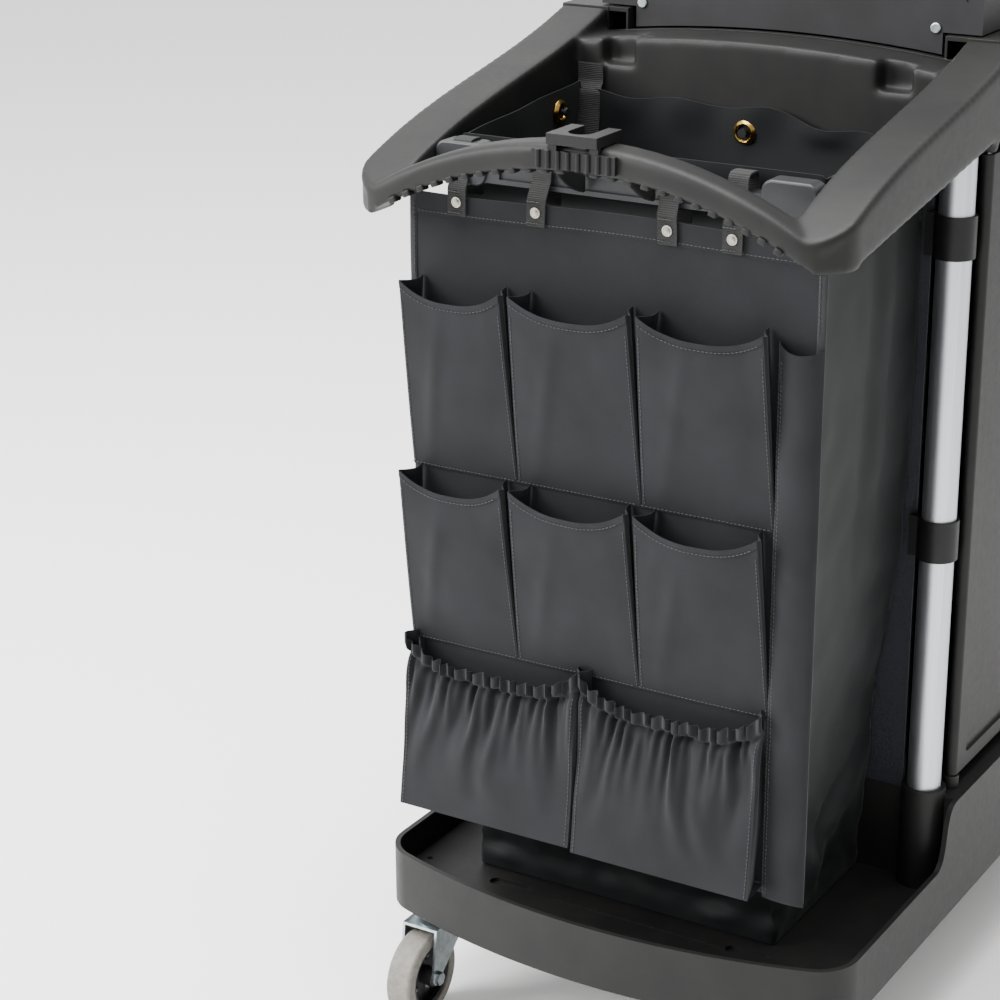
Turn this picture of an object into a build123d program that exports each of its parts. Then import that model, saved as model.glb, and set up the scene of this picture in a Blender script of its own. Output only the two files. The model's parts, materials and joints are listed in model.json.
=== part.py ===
"""Housekeeping cart: wheeled base, locking cabinet and hood, bag frame with organizer.

Millimetres.  X runs across the cart, Y along it (the bag end faces -Y), Z is up.
The origin lies on the floor under the middle of the cart.
"""
import os

from build123d import *

# Overall size
length = 1264.0             # tool grip's front face to the rear deck's edge
width = 572.0               # across the base skirt
height = 1359.0             # floor to the crown of the hood

# Places along the cart, measured from the bag end
handle_reach = 90.0         # front of the cart to the organizer panel
bag_bay = 300.0             # organizer panel to the wall behind the bag
cabinet_length = 560.0      # between the front and rear posts
organizer_y = handle_reach - length / 2
wall_y = organizer_y + bag_bay
post_front_y = wall_y - 10.0
post_rear_y = post_front_y + cabinet_length
rear_y = length / 2
slip = 0.05                 # radial clearance of anything that turns on a pin
seat = 0.3                  # gap left between a soft piece and its neighbour

# Base platform
base_wall = 6.0
skirt_low = 130.0
deck_top = 160.0
skirt_top = 200.0
sill_top = 270.0            # floor of the cabinet
bow = 52.0                  # how far the front edge bows forward
base_corner = 50.0
base_front_y = organizer_y - 64.0
shoulder_y = post_rear_y + 30.0
rear_half_width = 236.0
rear_corner = 40.0
sweep_length = 55.0         # the side wall rises over this length up to the sill

# Posts and cabinet
post_radius = 19.0
post_wall = 1.6
post_x = 245.0
post_foot = 172.0
post_top = 1050.0
socket_wall = 6.0
socket_top = 281.0
frame_socket_wall = 8.0     # thicker, so that the sockets bite into the rails' walls
panel_thick = 6.0
shelf_thick = 4.0
shelf_lip = 18.0
shelf_heights = (565.0, 800.0)
clip_heights = (579.0, 916.0)
clip_height = 46.0
clip_wall = 3.5

# Doors
door_thick = 14.0
door_x = 265.0              # hinge axis, and middle of the door's thickness
door_low = 286.0
door_high = 999.0
door_gap = 2.0
door_border = 18.0
door_recess = 4.0
hinge_offset = 31.5         # from a post's axis to the door's hinge axis
hinge_pin_radius = 3.0
hinge_boss_radius = 9.0
lock_radius = 10.0
lock_flange = 3.0
lock_tail = 4.0             # how far a lock's cylinder stands out inside
lock_height = 640.0
cam_reach = 38.0            # from a lock's axis to its cam's tip
cam_tail = 12.0             # from the axis to the cam's other end
cam_width = 14.0
cam_thick = 3.0

# Top frame
frame_half_width = 275.0
opening_half_width = 215.0
tray_half_width = 190.0
frame_corner = 50.0
handle_front_y = organizer_y - 82.0
handle_depth = 42.0
handle_end_z = 968.0
handle_rise = 72.0
handle_half_span = 250.0    # the arch springs from here on each side
handle_thick = 27.0
rail_low_front = 956.0
rail_low = 1011.0
rail_top = 1107.0
rail_crest = ((0.0, 982.0), (203.0, 1048.0), (332.0, 1074.0))  # rail's top edge behind the handle
nose_length = 150.0         # how far back the rails' underside is cut away on the inside
rail_flat = 8.0             # the rail is level from this far before the hood
rail_wall = 5.0
wall_low = 962.0
ledge_top = 1094.0
ledge_drop = 14.0
ledge_depth = 80.0
tray_top = 1078.0
tray_overlap = 2.5          # how far the tray runs into the rails' inner walls
tray_lip = 3.0
notch_x = 164.0             # pockets in the ledge, for the hooks of a hanging tray
notch_width = 38.0
notch_depth = 22.0          # behind the wall's front face
notch_height = 24.0
notch_wall = 4.0
rail_end_y = post_rear_y + 28.0
brace_x = 40.0

# Hood
hood_half_width = 228.0
hood_wall = 4.0
hood_gap = 2.0
hood_front_y = wall_y + ledge_depth
hood_rear_y = rail_end_y - 6.0
hood_shoulder = 70.0
hood_crown = 18.0
hood_groove = 5.0           # width of the upright grooves in its end walls
hinge_margin = 40.0         # from each end of the hood to its hinge
hinge_knuckles = 5
hinge_radius = 5.0
hood_hinge_x = -hood_half_width - hinge_radius - 1.5
hood_hinge_z = rail_top + hinge_radius + 1.0
hood_pin_radius = 2.4
catch_thick = 2.0
catch_width = 13.0
catch_gap = 0.6             # over the lock's cam when it is turned under the catch

# Casters and rear wheels
caster_x = 234.0
caster_y = organizer_y + 14.0
caster_radius = 50.8
caster_trail = 35.0
caster_tread = 32.0
caster_hub_radius = 37.0
caster_axle_radius = 5.0
caster_boss_radius = 34.0
caster_flange_radius = 31.0
caster_flange = 4.0
race_radius = 24.0
race_height = 9.0
fork_thick = 3.0
fork_gap = 40.0
fork_top = 112.0
kingpin_radius = 6.0
rear_wheel_radius = 101.6
rear_tread = 38.0
rear_wheel_x = 262.0
rear_wheel_y = organizer_y + 1030.0
rear_hub_radius = 84.0
rear_axle_radius = 6.35

# Organizer, its bar, and the bag
organizer_x = -7.0
organizer_width = 470.0
organizer_low = 260.0
organizer_top = 969.0
cloth = 3.0
tuck = 20.0                 # the organizer's top corners tuck under the rails by this
bar_low = 982.0
bar_top = 1006.0
bar_front_y = organizer_y + 8.0
bar_depth = 18.0
bar_end_width = 60.0
bar_end_depth = 26.0
bar_end_height = 44.0
bar_end_top = 1022.0
strap_places = (-184.0, -90.0, 60.0, 131.0)
strap_width = 23.0
strap_thick = 1.5
bag_top = 1025.0
bag_half_width = 209.0
bag_wall = 3.0
grommet_z = 1000.0
grommet_radius = 14.0
grommet_hole = 8.0
snap_z = 961.0
snap_radius = 6.0
top_pocket_low = 668.0
top_pocket_high = 868.0
middle_pocket_low = 466.0
middle_pocket_high = 660.0
low_pocket_low = 272.0
low_pocket_high = 458.0
long_pocket_high = 865.0
long_pocket_width = 43.0


def save(piece, name):
    """Label a finished piece and write its STEP file."""
    piece.part.label = name
    export_step(piece.part, f"parts/{name}.step")


def base_outline(inset):
    """Plan of the base: bowed front, straight flanks, narrower rear deck."""
    half = width / 2
    with BuildSketch() as plan:
        with BuildLine():
            ThreePointArc((-half, base_front_y + bow), (0, base_front_y), (half, base_front_y + bow))
            Polyline((half, base_front_y + bow), (half, shoulder_y), (rear_half_width, shoulder_y),
                     (rear_half_width, rear_y), (-rear_half_width, rear_y),
                     (-rear_half_width, shoulder_y), (-half, shoulder_y), (-half, base_front_y + bow))
        make_face()
        fillet(plan.vertices().group_by(Axis.Y)[0], base_corner)
        fillet(plan.vertices().group_by(Axis.Y)[-1], rear_corner)
        if inset:
            offset(amount=-inset, mode=Mode.REPLACE)
    return plan.sketch


def base_platform():
    """Moulded platform: two trays, a raised cabinet floor, sockets and caster bosses."""
    bay_start = wall_y - 8.0
    bay_end = post_rear_y + 24.0
    far = 2 * length
    with BuildPart() as base:
        with BuildSketch(Plane.XY.offset(skirt_low)):
            add(base_outline(0))
        extrude(amount=sill_top - skirt_low)
        # The side wall sweeps up from the trays to the cabinet's sill.
        with BuildSketch(Plane.YZ.offset(-width)):
            with BuildLine():
                Line((-far, skirt_top), (bay_start - sweep_length, skirt_top))
                Spline((bay_start - sweep_length, skirt_top), (bay_start, sill_top),
                       tangents=((1, 0), (1, 0)))
                Line((bay_start, sill_top), (bay_start, height))
                Polyline((bay_start, height), (-far, height), (-far, skirt_top))
            make_face()
            with BuildLine():
                Line((far, skirt_top), (bay_end + sweep_length, skirt_top))
                Spline((bay_end + sweep_length, skirt_top), (bay_end, sill_top),
                       tangents=((-1, 0), (-1, 0)))
                Line((bay_end, sill_top), (bay_end, height))
                Polyline((bay_end, height), (far, height), (far, skirt_top))
            make_face()
        extrude(amount=2 * width, mode=Mode.SUBTRACT)
        # Trays in front of and behind the cabinet.
        with BuildSketch(Plane.XY.offset(deck_top)):
            add(base_outline(base_wall))
            with Locations((0, (bay_start + bay_end) / 2)):
                Rectangle(2 * width, bay_end - bay_start, mode=Mode.SUBTRACT)
        extrude(amount=height, mode=Mode.SUBTRACT)
        # Hollow underside.
        with BuildSketch(Plane.XY.offset(skirt_low)):
            add(base_outline(base_wall))
        extrude(amount=deck_top - base_wall - skirt_low, mode=Mode.SUBTRACT)
        with BuildSketch(Plane.XY.offset(skirt_low)):
            with Locations((0, (bay_start + bay_end) / 2)):
                Rectangle(width - 2 * base_wall, bay_end - bay_start - 2 * base_wall)
            add(base_outline(base_wall), mode=Mode.INTERSECT)
        extrude(amount=sill_top - base_wall - skirt_low, mode=Mode.SUBTRACT)
        # Solid bosses: post sockets, caster bosses and door pin rings.
        with BuildSketch(Plane.XY.offset(deck_top - base_wall)):
            with Locations(*post_places()):
                Circle(post_radius + socket_wall)
        extrude(amount=socket_top - deck_top + base_wall)
        with BuildSketch(Plane.XY.offset(skirt_low)):
            with Locations((-caster_x, caster_y), (caster_x, caster_y)):
                Circle(caster_boss_radius)
        extrude(amount=deck_top - skirt_low)
        with BuildSketch(Plane.XY.offset(sill_top - base_wall)):
            with Locations(*hinge_places()):
                Circle(hinge_boss_radius)
        extrude(amount=door_low - seat - sill_top + base_wall)
        with BuildSketch(Plane.XY.offset(post_foot)):
            with Locations(*post_places()):
                Circle(post_radius)
        extrude(amount=height, mode=Mode.SUBTRACT)
        with BuildSketch(Plane.XY.offset(sill_top)):
            with Locations(*hinge_places()):
                Circle(hinge_pin_radius)
        extrude(amount=height, mode=Mode.SUBTRACT)
        add(deck_cuts(), mode=Mode.SUBTRACT)
    return base


def deck_cuts():
    """Grip recesses, a drip groove and drain holes of the bag deck."""
    groove_y = organizer_y + 36.0
    grip_x = 150.0
    drain_x = caster_x + 30.0
    with BuildPart() as cut:
        with BuildSketch(Plane.XY.offset(deck_top - 2)):
            with Locations((0, groove_y)):
                SlotOverall(2 * grip_x, 4)
        extrude(amount=4)
        with BuildSketch(Plane.XY.offset(deck_top - 4)):
            with Locations((-grip_x, groove_y + 4), (grip_x, groove_y + 4)):
                SlotOverall(52, 15)
        extrude(amount=8)
        with BuildSketch(Plane.XY.offset(skirt_low)):
            with Locations((-drain_x, groove_y + 12), (drain_x, groove_y + 12)):
                Circle(3.5)
        extrude(amount=height)
    return cut.part


def post_places():
    """Plan positions of the four posts."""
    return [(x, y) for x in (-post_x, post_x) for y in (post_front_y, post_rear_y)]


def hinge_places():
    """Plan positions of the two doors' hinge axes."""
    return [(door_x, post_front_y + hinge_offset), (door_x, post_rear_y - hinge_offset)]


def caster_head(side):
    """Fixed half of a caster: flange under the base, race and kingpin with its nut."""
    flange = Plane(origin=(side * caster_x, caster_y, skirt_low), z_dir=(0, 0, -1))
    race_end = caster_flange + race_height
    nut = skirt_low - fork_top + fork_thick + seat
    with BuildPart() as head:
        with BuildSketch(flange):
            Circle(caster_flange_radius)
        extrude(amount=caster_flange)
        with BuildSketch(flange.offset(caster_flange)):
            Circle(race_radius)
        extrude(amount=race_height)
        with BuildSketch(flange.offset(race_end)):
            Circle(kingpin_radius)
        extrude(amount=nut + 2 - race_end)
        with BuildSketch(flange.offset(nut)):
            Circle(kingpin_radius + 4)
        extrude(amount=4)
        chamfer(head.edges().filter_by(GeomType.CIRCLE).sort_by(Axis.Z)[-1], 1)
    return head


def caster_fork(side):
    """Pressed steel fork: a top plate on the kingpin and two tapering legs."""
    wheel_y = caster_y - caster_trail
    outer = fork_gap + 2 * fork_thick
    with BuildPart() as fork:
        with BuildSketch(Plane.YZ.offset(side * caster_x - outer / 2)):
            with BuildLine():
                Polyline((caster_y + 24, fork_top), (caster_y - 36, fork_top), (wheel_y - 9, caster_radius),
                         (wheel_y + 9, caster_radius), (caster_y + 24, fork_top - 18),
                         (caster_y + 24, fork_top))
            make_face()
            with Locations((wheel_y, caster_radius)):
                Circle(9)
        extrude(amount=outer)
        with BuildSketch(Plane.YZ.offset(side * caster_x - fork_gap / 2)):
            with Locations((caster_y, -fork_thick)):
                Rectangle(6 * caster_radius, 2 * fork_top)
        extrude(amount=fork_gap, mode=Mode.SUBTRACT)
        with BuildSketch(Plane.XY.offset(fork_top - fork_thick)):
            with Locations((side * caster_x, caster_y)):
                Circle(kingpin_radius + slip)
        extrude(amount=2 * fork_thick, mode=Mode.SUBTRACT)
        with BuildSketch(Plane.YZ.offset(side * caster_x - outer)):
            with Locations((wheel_y, caster_radius)):
                Circle(caster_axle_radius)
        extrude(amount=2 * outer, mode=Mode.SUBTRACT)
    return fork


def wheel_plane(x, y, z):
    """Plane across a wheel, facing +X, centred on its axle."""
    return Plane(origin=(x, y, z), x_dir=(0, 1, 0), z_dir=(1, 0, 0))


def axle_bolt(side):
    """Caster axle: a bolt with its head outside one leg and a nut outside the other."""
    centre = wheel_plane(side * caster_x, caster_y - caster_trail, caster_radius)
    reach = fork_gap / 2 + fork_thick
    with BuildPart() as axle:
        with BuildSketch(centre.offset(-reach - 4)):
            Circle(caster_axle_radius)
        extrude(amount=2 * reach + 8)
        with BuildSketch(centre.offset(-reach - 5)):
            RegularPolygon(8, 6)
        extrude(amount=5)
        with BuildSketch(centre.offset(reach)):
            RegularPolygon(8, 6)
        extrude(amount=5)
    return axle


def tyre(centre, radius, inner, tread):
    """Solid tyre with rounded shoulders."""
    with BuildPart() as ring:
        with BuildSketch(centre.offset(-tread / 2)):
            Circle(radius)
            Circle(inner, mode=Mode.SUBTRACT)
        extrude(amount=tread)
        rims = ring.edges().filter_by(GeomType.CIRCLE).filter_by(lambda e: e.radius > (radius + inner) / 2)
        fillet(rims, min(tread / 4, (radius - inner) / 3))
    return ring


def hub(centre, radius, bore, tread, boss_radius, boss_length, spokes):
    """Moulded hub: rim, dished web with lightening holes, and a bored boss."""
    with BuildPart() as wheel:
        with BuildSketch(centre.offset(-tread / 2)):
            Circle(radius)
        extrude(amount=tread)
        with BuildSketch(centre.offset(4), centre.offset(-4 - tread)):
            Circle(radius - 5)
        extrude(amount=tread, mode=Mode.SUBTRACT)
        with BuildSketch(centre.offset(-boss_length / 2)):
            Circle(boss_radius)
        extrude(amount=boss_length)
        with BuildSketch(centre.offset(-tread)):
            with PolarLocations((radius - 5 + boss_radius) / 2, spokes):
                Circle((radius - 5 - boss_radius) / 4)
        extrude(amount=2 * tread, mode=Mode.SUBTRACT)
        with BuildSketch(centre.offset(-boss_length)):
            Circle(bore)
        extrude(amount=2 * boss_length, mode=Mode.SUBTRACT)
    return wheel


def rear_axle():
    """Straight steel rod that both rear wheels turn on."""
    with BuildPart() as rod:
        with BuildSketch(wheel_plane(1 - width / 2, rear_wheel_y, rear_wheel_radius)):
            Circle(rear_axle_radius)
        extrude(amount=width - 2)
        chamfer(rod.edges(), 1)
    return rod


def rear_axle_caps():
    """Push-on caps that keep the rear wheels on the axle."""
    inner = rear_wheel_x + rear_tread / 2 + 1
    with BuildPart() as caps:
        with BuildSketch(wheel_plane(inner, rear_wheel_y, rear_wheel_radius)):
            Circle(14)
            Circle(rear_axle_radius, mode=Mode.SUBTRACT)
        extrude(amount=width / 2 - inner)
        mirror(about=Plane.YZ)
    return caps


def axle_bracket(side):
    """Folded steel bracket that hangs the rear axle under the deck."""
    outer_x = side * (rear_half_width - base_wall - 4)
    underside = deck_top - base_wall
    with BuildPart() as bracket:
        with BuildSketch(Plane.YZ.offset(outer_x - 2)):
            with BuildLine():
                Polyline((rear_wheel_y - 40, underside), (rear_wheel_y - 16, rear_wheel_radius),
                         (rear_wheel_y + 16, rear_wheel_radius), (rear_wheel_y + 40, underside),
                         (rear_wheel_y - 40, underside))
            make_face()
            with Locations((rear_wheel_y, rear_wheel_radius)):
                Circle(16)
                Circle(rear_axle_radius, mode=Mode.SUBTRACT)
        extrude(amount=4)
        with BuildSketch(Plane.XY.offset(underside - 4)):
            with Locations((outer_x - side * 18, rear_wheel_y)):
                Rectangle(36, 80)
        extrude(amount=4)
    return bracket


def post(x, y):
    """Anodised tube from its socket in the base up into the top frame."""
    with BuildPart() as tube:
        with BuildSketch(Plane.XY.offset(post_foot)):
            with Locations((x, y)):
                Circle(post_radius)
                Circle(post_radius - post_wall, mode=Mode.SUBTRACT)
        extrude(amount=post_top - post_foot)
    return tube


def post_clips():
    """Ring clips on the front posts, each with a lug that holds the end panel's edge."""
    with BuildPart() as clips:
        with BuildSketch(*[Plane.XY.offset(z - clip_height / 2) for z in clip_heights]):
            with Locations((post_x, post_front_y)):
                Circle(post_radius + clip_wall)
            with Locations((post_x - post_radius - 6, post_front_y - 4)):
                Rectangle(12, 9)
            with Locations((post_x, post_front_y)):
                Circle(post_radius, mode=Mode.SUBTRACT)
        extrude(amount=clip_height)
        mirror(about=Plane.YZ)
    return clips


def flat_panel(size_x, size_y, x, y, low, high):
    """Upright sheet panel with softened vertical edges."""
    with BuildPart() as panel:
        with BuildSketch(Plane.XY.offset(low)):
            with Locations((x, y)):
                Rectangle(size_x, size_y)
        extrude(amount=high - low)
        fillet(panel.edges().filter_by(Axis.Z), 1)
    return panel


def shelf(top):
    """Moulded shelf: a deck with a turned-down lip and cross ribs underneath."""
    low_y = post_front_y + post_radius + 5
    high_y = post_rear_y - post_radius - 5
    size_x = 2 * (door_x - door_thick)
    with BuildPart() as tray:
        with BuildSketch(Plane.XY.offset(top - shelf_lip)):
            with Locations((0, (low_y + high_y) / 2)):
                RectangleRounded(size_x, high_y - low_y, 8)
        extrude(amount=shelf_lip)
        with BuildSketch(Plane.XY.offset(top - shelf_lip)):
            with Locations((0, (low_y + high_y) / 2)):
                with GridLocations(size_x / 3, (high_y - low_y) / 2, 3, 2):
                    Rectangle(size_x / 3 - shelf_thick, (high_y - low_y) / 2 - shelf_thick)
        extrude(amount=shelf_lip - shelf_thick, mode=Mode.SUBTRACT)
    return tray


def shelf_rails():
    """Ledges fixed to both end panels, under the ends of each shelf."""
    front_face = wall_y - 1
    rear_face = post_rear_y - panel_thick / 2
    with BuildPart() as rails:
        with BuildSketch(*[Plane.XY.offset(z - shelf_lip - 10) for z in shelf_heights]):
            with Locations((0, (front_face + post_front_y + post_radius + 20) / 2)):
                Rectangle(380, post_front_y + post_radius + 20 - front_face)
            with Locations((0, (rear_face + post_rear_y - post_radius - 20) / 2)):
                Rectangle(380, rear_face - post_rear_y + post_radius + 20)
        extrude(amount=10)
    return rails


def door(hinge_y, toward):
    """Door leaf with a rounded hinge stile and a recessed face; it reaches to mid-cabinet."""
    middle_y = (post_front_y + post_rear_y) / 2
    free_y = middle_y - toward * door_gap / 2
    stile = door_thick / 2
    leaf_start = hinge_y + toward * stile
    leaf_y = (leaf_start + free_y) / 2
    leaf_size = abs(free_y - hinge_y)
    with BuildPart() as leaf:
        with BuildSketch(Plane.XY.offset(door_low)):
            with Locations((door_x, (hinge_y + free_y) / 2)):
                Rectangle(door_thick, leaf_size)
            with Locations((door_x, hinge_y)):
                Circle(stile)
        extrude(amount=door_high - door_low)
        recess = (abs(free_y - leaf_start) - 2 * door_border, door_high - door_low - 2 * door_border)
        with BuildSketch(Plane.YZ.offset(door_x + stile - door_recess)):
            with Locations((leaf_y, (door_high + door_low) / 2)):
                RectangleRounded(*recess, 6)
        extrude(amount=2 * door_recess, mode=Mode.SUBTRACT)
        with BuildSketch(Plane.YZ.offset(door_x - stile - 1)):
            with Locations((leaf_y, (door_high + door_low) / 2)):
                RectangleRounded(*recess, 6)
        extrude(amount=door_thick - door_recess - 3, mode=Mode.SUBTRACT)
        with BuildSketch(Plane.XY.offset(door_low - 1)):
            with Locations((door_x, hinge_y)):
                Circle(hinge_pin_radius + slip)
        extrude(amount=2 * height, mode=Mode.SUBTRACT)
        if toward < 0:
            with BuildSketch(Plane.YZ.offset(door_x - stile - 1)):
                with Locations((lock_y(), lock_height)):
                    Circle(lock_radius + 4)
            extrude(amount=door_thick - door_recess / 2)
            with BuildSketch(Plane.YZ.offset(door_x - 2 * door_thick)):
                with Locations((lock_y(), lock_height)):
                    Circle(lock_radius + slip)
            extrude(amount=4 * door_thick, mode=Mode.SUBTRACT)
    return leaf


def lock_y():
    """Place of the door lock, just inside the rear door's free edge."""
    return (post_front_y + post_rear_y) / 2 + door_border + lock_radius


def door_hinge_pins():
    """Steel pins: each stands in a base ring and ends in the top frame's ring."""
    with BuildPart() as pins:
        with BuildSketch(Plane.XY.offset(sill_top)):
            with Locations(*hinge_places()):
                Circle(hinge_pin_radius)
        extrude(amount=rail_low + 8 - sill_top)
    return pins


def lock_barrel(centre, thick):
    """Round cylinder lock with a flange outside and a key slot."""
    with BuildPart() as barrel:
        with BuildSketch(centre.offset(-thick - lock_tail)):
            Circle(lock_radius)
        extrude(amount=thick + lock_tail)
        with BuildSketch(centre):
            Circle(lock_radius + 3)
        extrude(amount=lock_flange)
        with BuildSketch(centre.offset(lock_flange / 3)):
            SlotOverall(9, 2)
        extrude(amount=lock_flange, mode=Mode.SUBTRACT)
    return barrel


def lock_cam(centre, thick, turn):
    """Flat cam screwed to the inner end of a lock cylinder."""
    with BuildPart() as cam:
        with BuildSketch(centre.offset(-thick - lock_tail - cam_thick)):
            with Locations(Location((0, 0), turn)):
                with Locations(((cam_reach - cam_tail) / 2, 0)):
                    SlotOverall(cam_reach + cam_tail, cam_width)
        extrude(amount=cam_thick)
    return cam


def side_profile(grow):
    """Side view of a rail; grow lowers its top edge by a wall thickness for the hollow."""
    start = handle_front_y + 2 * grow
    end = rail_end_y - grow
    low_start = rail_low_front - 3 * grow
    low_end = rail_low - 3 * grow
    level = (hood_front_y - rail_flat, rail_top - grow)
    crest = [(handle_front_y + y, z - grow) for y, z in rail_crest[1:]]
    nose = (start, rail_crest[0][1] - grow)
    with BuildSketch() as side:
        with BuildLine():
            Spline(nose, *crest, level)
            Polyline(level, (end, rail_top - grow), (end, low_end), (wall_y + 12, low_end),
                     (handle_front_y + handle_depth, low_start), (start, low_start), nose)
        make_face()
    return side.sketch


def frame_outline():
    """Plan of the top frame: rounded corners and a gently bowed handle."""
    with BuildSketch() as plan:
        with BuildLine():
            ThreePointArc((-frame_half_width, handle_front_y + 6), (0, handle_front_y),
                          (frame_half_width, handle_front_y + 6))
            Polyline((frame_half_width, handle_front_y + 6), (frame_half_width, rail_end_y),
                     (-frame_half_width, rail_end_y), (-frame_half_width, handle_front_y + 6))
        make_face()
        fillet(plan.vertices().group_by(Axis.Y)[0], frame_corner)
        fillet(plan.vertices().group_by(Axis.Y)[-1], 12)
    return plan.sketch


def arch(grow):
    """Front view of the handle: a band that rises to the middle."""
    end = handle_half_span
    low = handle_end_z - handle_thick / 2 + grow
    high = handle_end_z + handle_thick / 2 + grow
    with BuildSketch() as band:
        with BuildLine():
            ThreePointArc((-end, low), (0, low + handle_rise), (end, low))
            Line((end, low), (end, high))
            ThreePointArc((end, high), (0, high + handle_rise), (-end, high))
            Line((-end, high), (-end, low))
        make_face()
    return band.sketch


def handle_bar():
    """Arched handle across the bag end, cut to the frame's plan."""
    with BuildPart() as bar:
        with BuildSketch(Plane.XZ.offset(-handle_front_y - handle_depth)):
            add(arch(0))
        extrude(amount=handle_depth)
        with BuildSketch(Plane.XY.offset(skirt_low)):
            add(frame_outline())
        extrude(amount=height, mode=Mode.INTERSECT)
        fillet(bar.edges().filter_by(lambda e: abs(e.center().X) < 1).sort_by(Axis.Z)[-2:], 8)
    return bar.part


def rail_cavity():
    """Hollow underside of the right-hand rail, leaving solid sockets round the posts."""
    with BuildPart() as cavity:
        with BuildSketch(Plane.YZ.offset(opening_half_width + rail_wall)):
            add(side_profile(rail_wall))
        extrude(amount=frame_half_width - opening_half_width - 2 * rail_wall)
        with BuildSketch(Plane.XY.offset(skirt_low)):
            with Locations((post_x, post_front_y), (post_x, post_rear_y)):
                Circle(post_radius + frame_socket_wall)
        extrude(amount=height, mode=Mode.SUBTRACT)
    return cavity.part


def nose_underside():
    """Wedge taken off the lower inside edge of the right-hand rail, from the nose backwards."""
    arch_low = handle_end_z - handle_thick / 2 + handle_rise / 3
    with BuildPart() as wedge:
        with BuildSketch(Plane.XZ.offset(-handle_front_y - nose_length)):
            with BuildLine():
                Polyline((opening_half_width - 1, rail_low_front - 20), (opening_half_width - 1, arch_low),
                         (frame_half_width - rail_wall, rail_low_front), (frame_half_width, rail_low_front - 20),
                         (opening_half_width - 1, rail_low_front - 20))
            make_face()
        extrude(amount=nose_length + 1)
    return wedge.part


def rails():
    """Both side rails with their hollow undersides, and the wide part beside the tray."""
    rail_width = frame_half_width - opening_half_width
    level_y = hood_front_y - rail_flat
    with BuildPart() as pair:
        with BuildSketch(Plane.YZ.offset(opening_half_width)):
            add(side_profile(0))
        extrude(amount=rail_width)
        add(rail_cavity(), mode=Mode.SUBTRACT)
        add(nose_underside(), mode=Mode.SUBTRACT)
        with BuildSketch(Plane.XY.offset(rail_top - rail_wall)):
            with Locations(((tray_half_width + opening_half_width) / 2, (level_y + rail_end_y) / 2)):
                Rectangle(opening_half_width - tray_half_width, rail_end_y - level_y)
        extrude(amount=rail_wall)
        with BuildSketch(Plane.XY.offset(skirt_low)):
            with Locations((post_x, post_front_y), (post_x, post_rear_y)):
                Circle(post_radius)
        extrude(amount=post_top - skirt_low, mode=Mode.SUBTRACT)
        mirror(about=Plane.YZ)
        with BuildSketch(Plane.XY.offset(door_high + seat)):
            with Locations(*hinge_places()):
                Circle(hinge_boss_radius)
        extrude(amount=rail_low + 14 - door_high)
        with BuildSketch(Plane.XY.offset(door_high - 1)):
            with Locations(*hinge_places()):
                Circle(hinge_pin_radius)
        extrude(amount=rail_low + 9 - door_high, mode=Mode.SUBTRACT)
        with BuildSketch(Plane.XY.offset(skirt_low)):
            add(frame_outline())
        extrude(amount=2 * height, mode=Mode.INTERSECT)
    return pair.part


def tray():
    """Wall behind the bag, the arched ledge on it, and the cabinet's top tray."""
    inner = 2 * (opening_half_width + tray_overlap)
    level_y = hood_front_y - rail_flat
    with BuildPart() as top:
        with BuildSketch(Plane.XY.offset(wall_low)):
            with Locations((0, wall_y + panel_thick / 2)):
                Rectangle(inner, panel_thick)
        extrude(amount=tray_top - wall_low)
        with BuildSketch(Plane.XZ.offset(-wall_y - ledge_depth)):
            with BuildLine():
                ThreePointArc((-opening_half_width, ledge_top - ledge_drop), (0, ledge_top),
                              (opening_half_width, ledge_top - ledge_drop))
                Polyline((opening_half_width, ledge_top - ledge_drop), (opening_half_width, tray_top - 12),
                         (-opening_half_width, tray_top - 12),
                         (-opening_half_width, ledge_top - ledge_drop))
            make_face()
        extrude(amount=ledge_depth)
        with BuildSketch(Plane.XY.offset(tray_top - panel_thick)):
            with Locations((0, (wall_y + rail_end_y) / 2)):
                Rectangle(inner, rail_end_y - wall_y)
        extrude(amount=panel_thick)
        notch_low = ledge_top - ledge_drop - notch_height
        block_y = wall_y + (notch_depth + notch_wall) / 2
        with BuildSketch(Plane.XY.offset(notch_low - notch_wall)):
            with Locations((-notch_x, block_y), (notch_x, block_y)):
                Rectangle(notch_width + 2 * notch_wall, notch_depth + notch_wall)
        extrude(amount=notch_height)
        with BuildSketch(Plane.XY.offset(notch_low)):
            with Locations((-notch_x, wall_y), (notch_x, wall_y)):
                RectangleRounded(notch_width, 2 * notch_depth, notch_wall)
        extrude(amount=2 * notch_height, mode=Mode.SUBTRACT)
        with BuildSketch(Plane.XY.offset(tray_top - panel_thick)):
            with Locations((0, rail_end_y - panel_thick / 2)):
                Rectangle(inner, panel_thick)
        extrude(amount=rail_top - 14 - tray_top)
        with BuildSketch(Plane.XY.offset(rail_low)):
            with Locations((0, post_rear_y)):
                Rectangle(inner, panel_thick)
        extrude(amount=tray_top - rail_low)
        with BuildSketch(Plane.XY.offset(tray_top)):
            for x in (-tray_half_width - tray_lip / 2, tray_half_width + tray_lip / 2):
                with Locations((x, (level_y + rail_end_y) / 2)):
                    Rectangle(tray_lip, rail_end_y - level_y)
        extrude(amount=rail_top - tray_top - 1)
    return top.part


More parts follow.
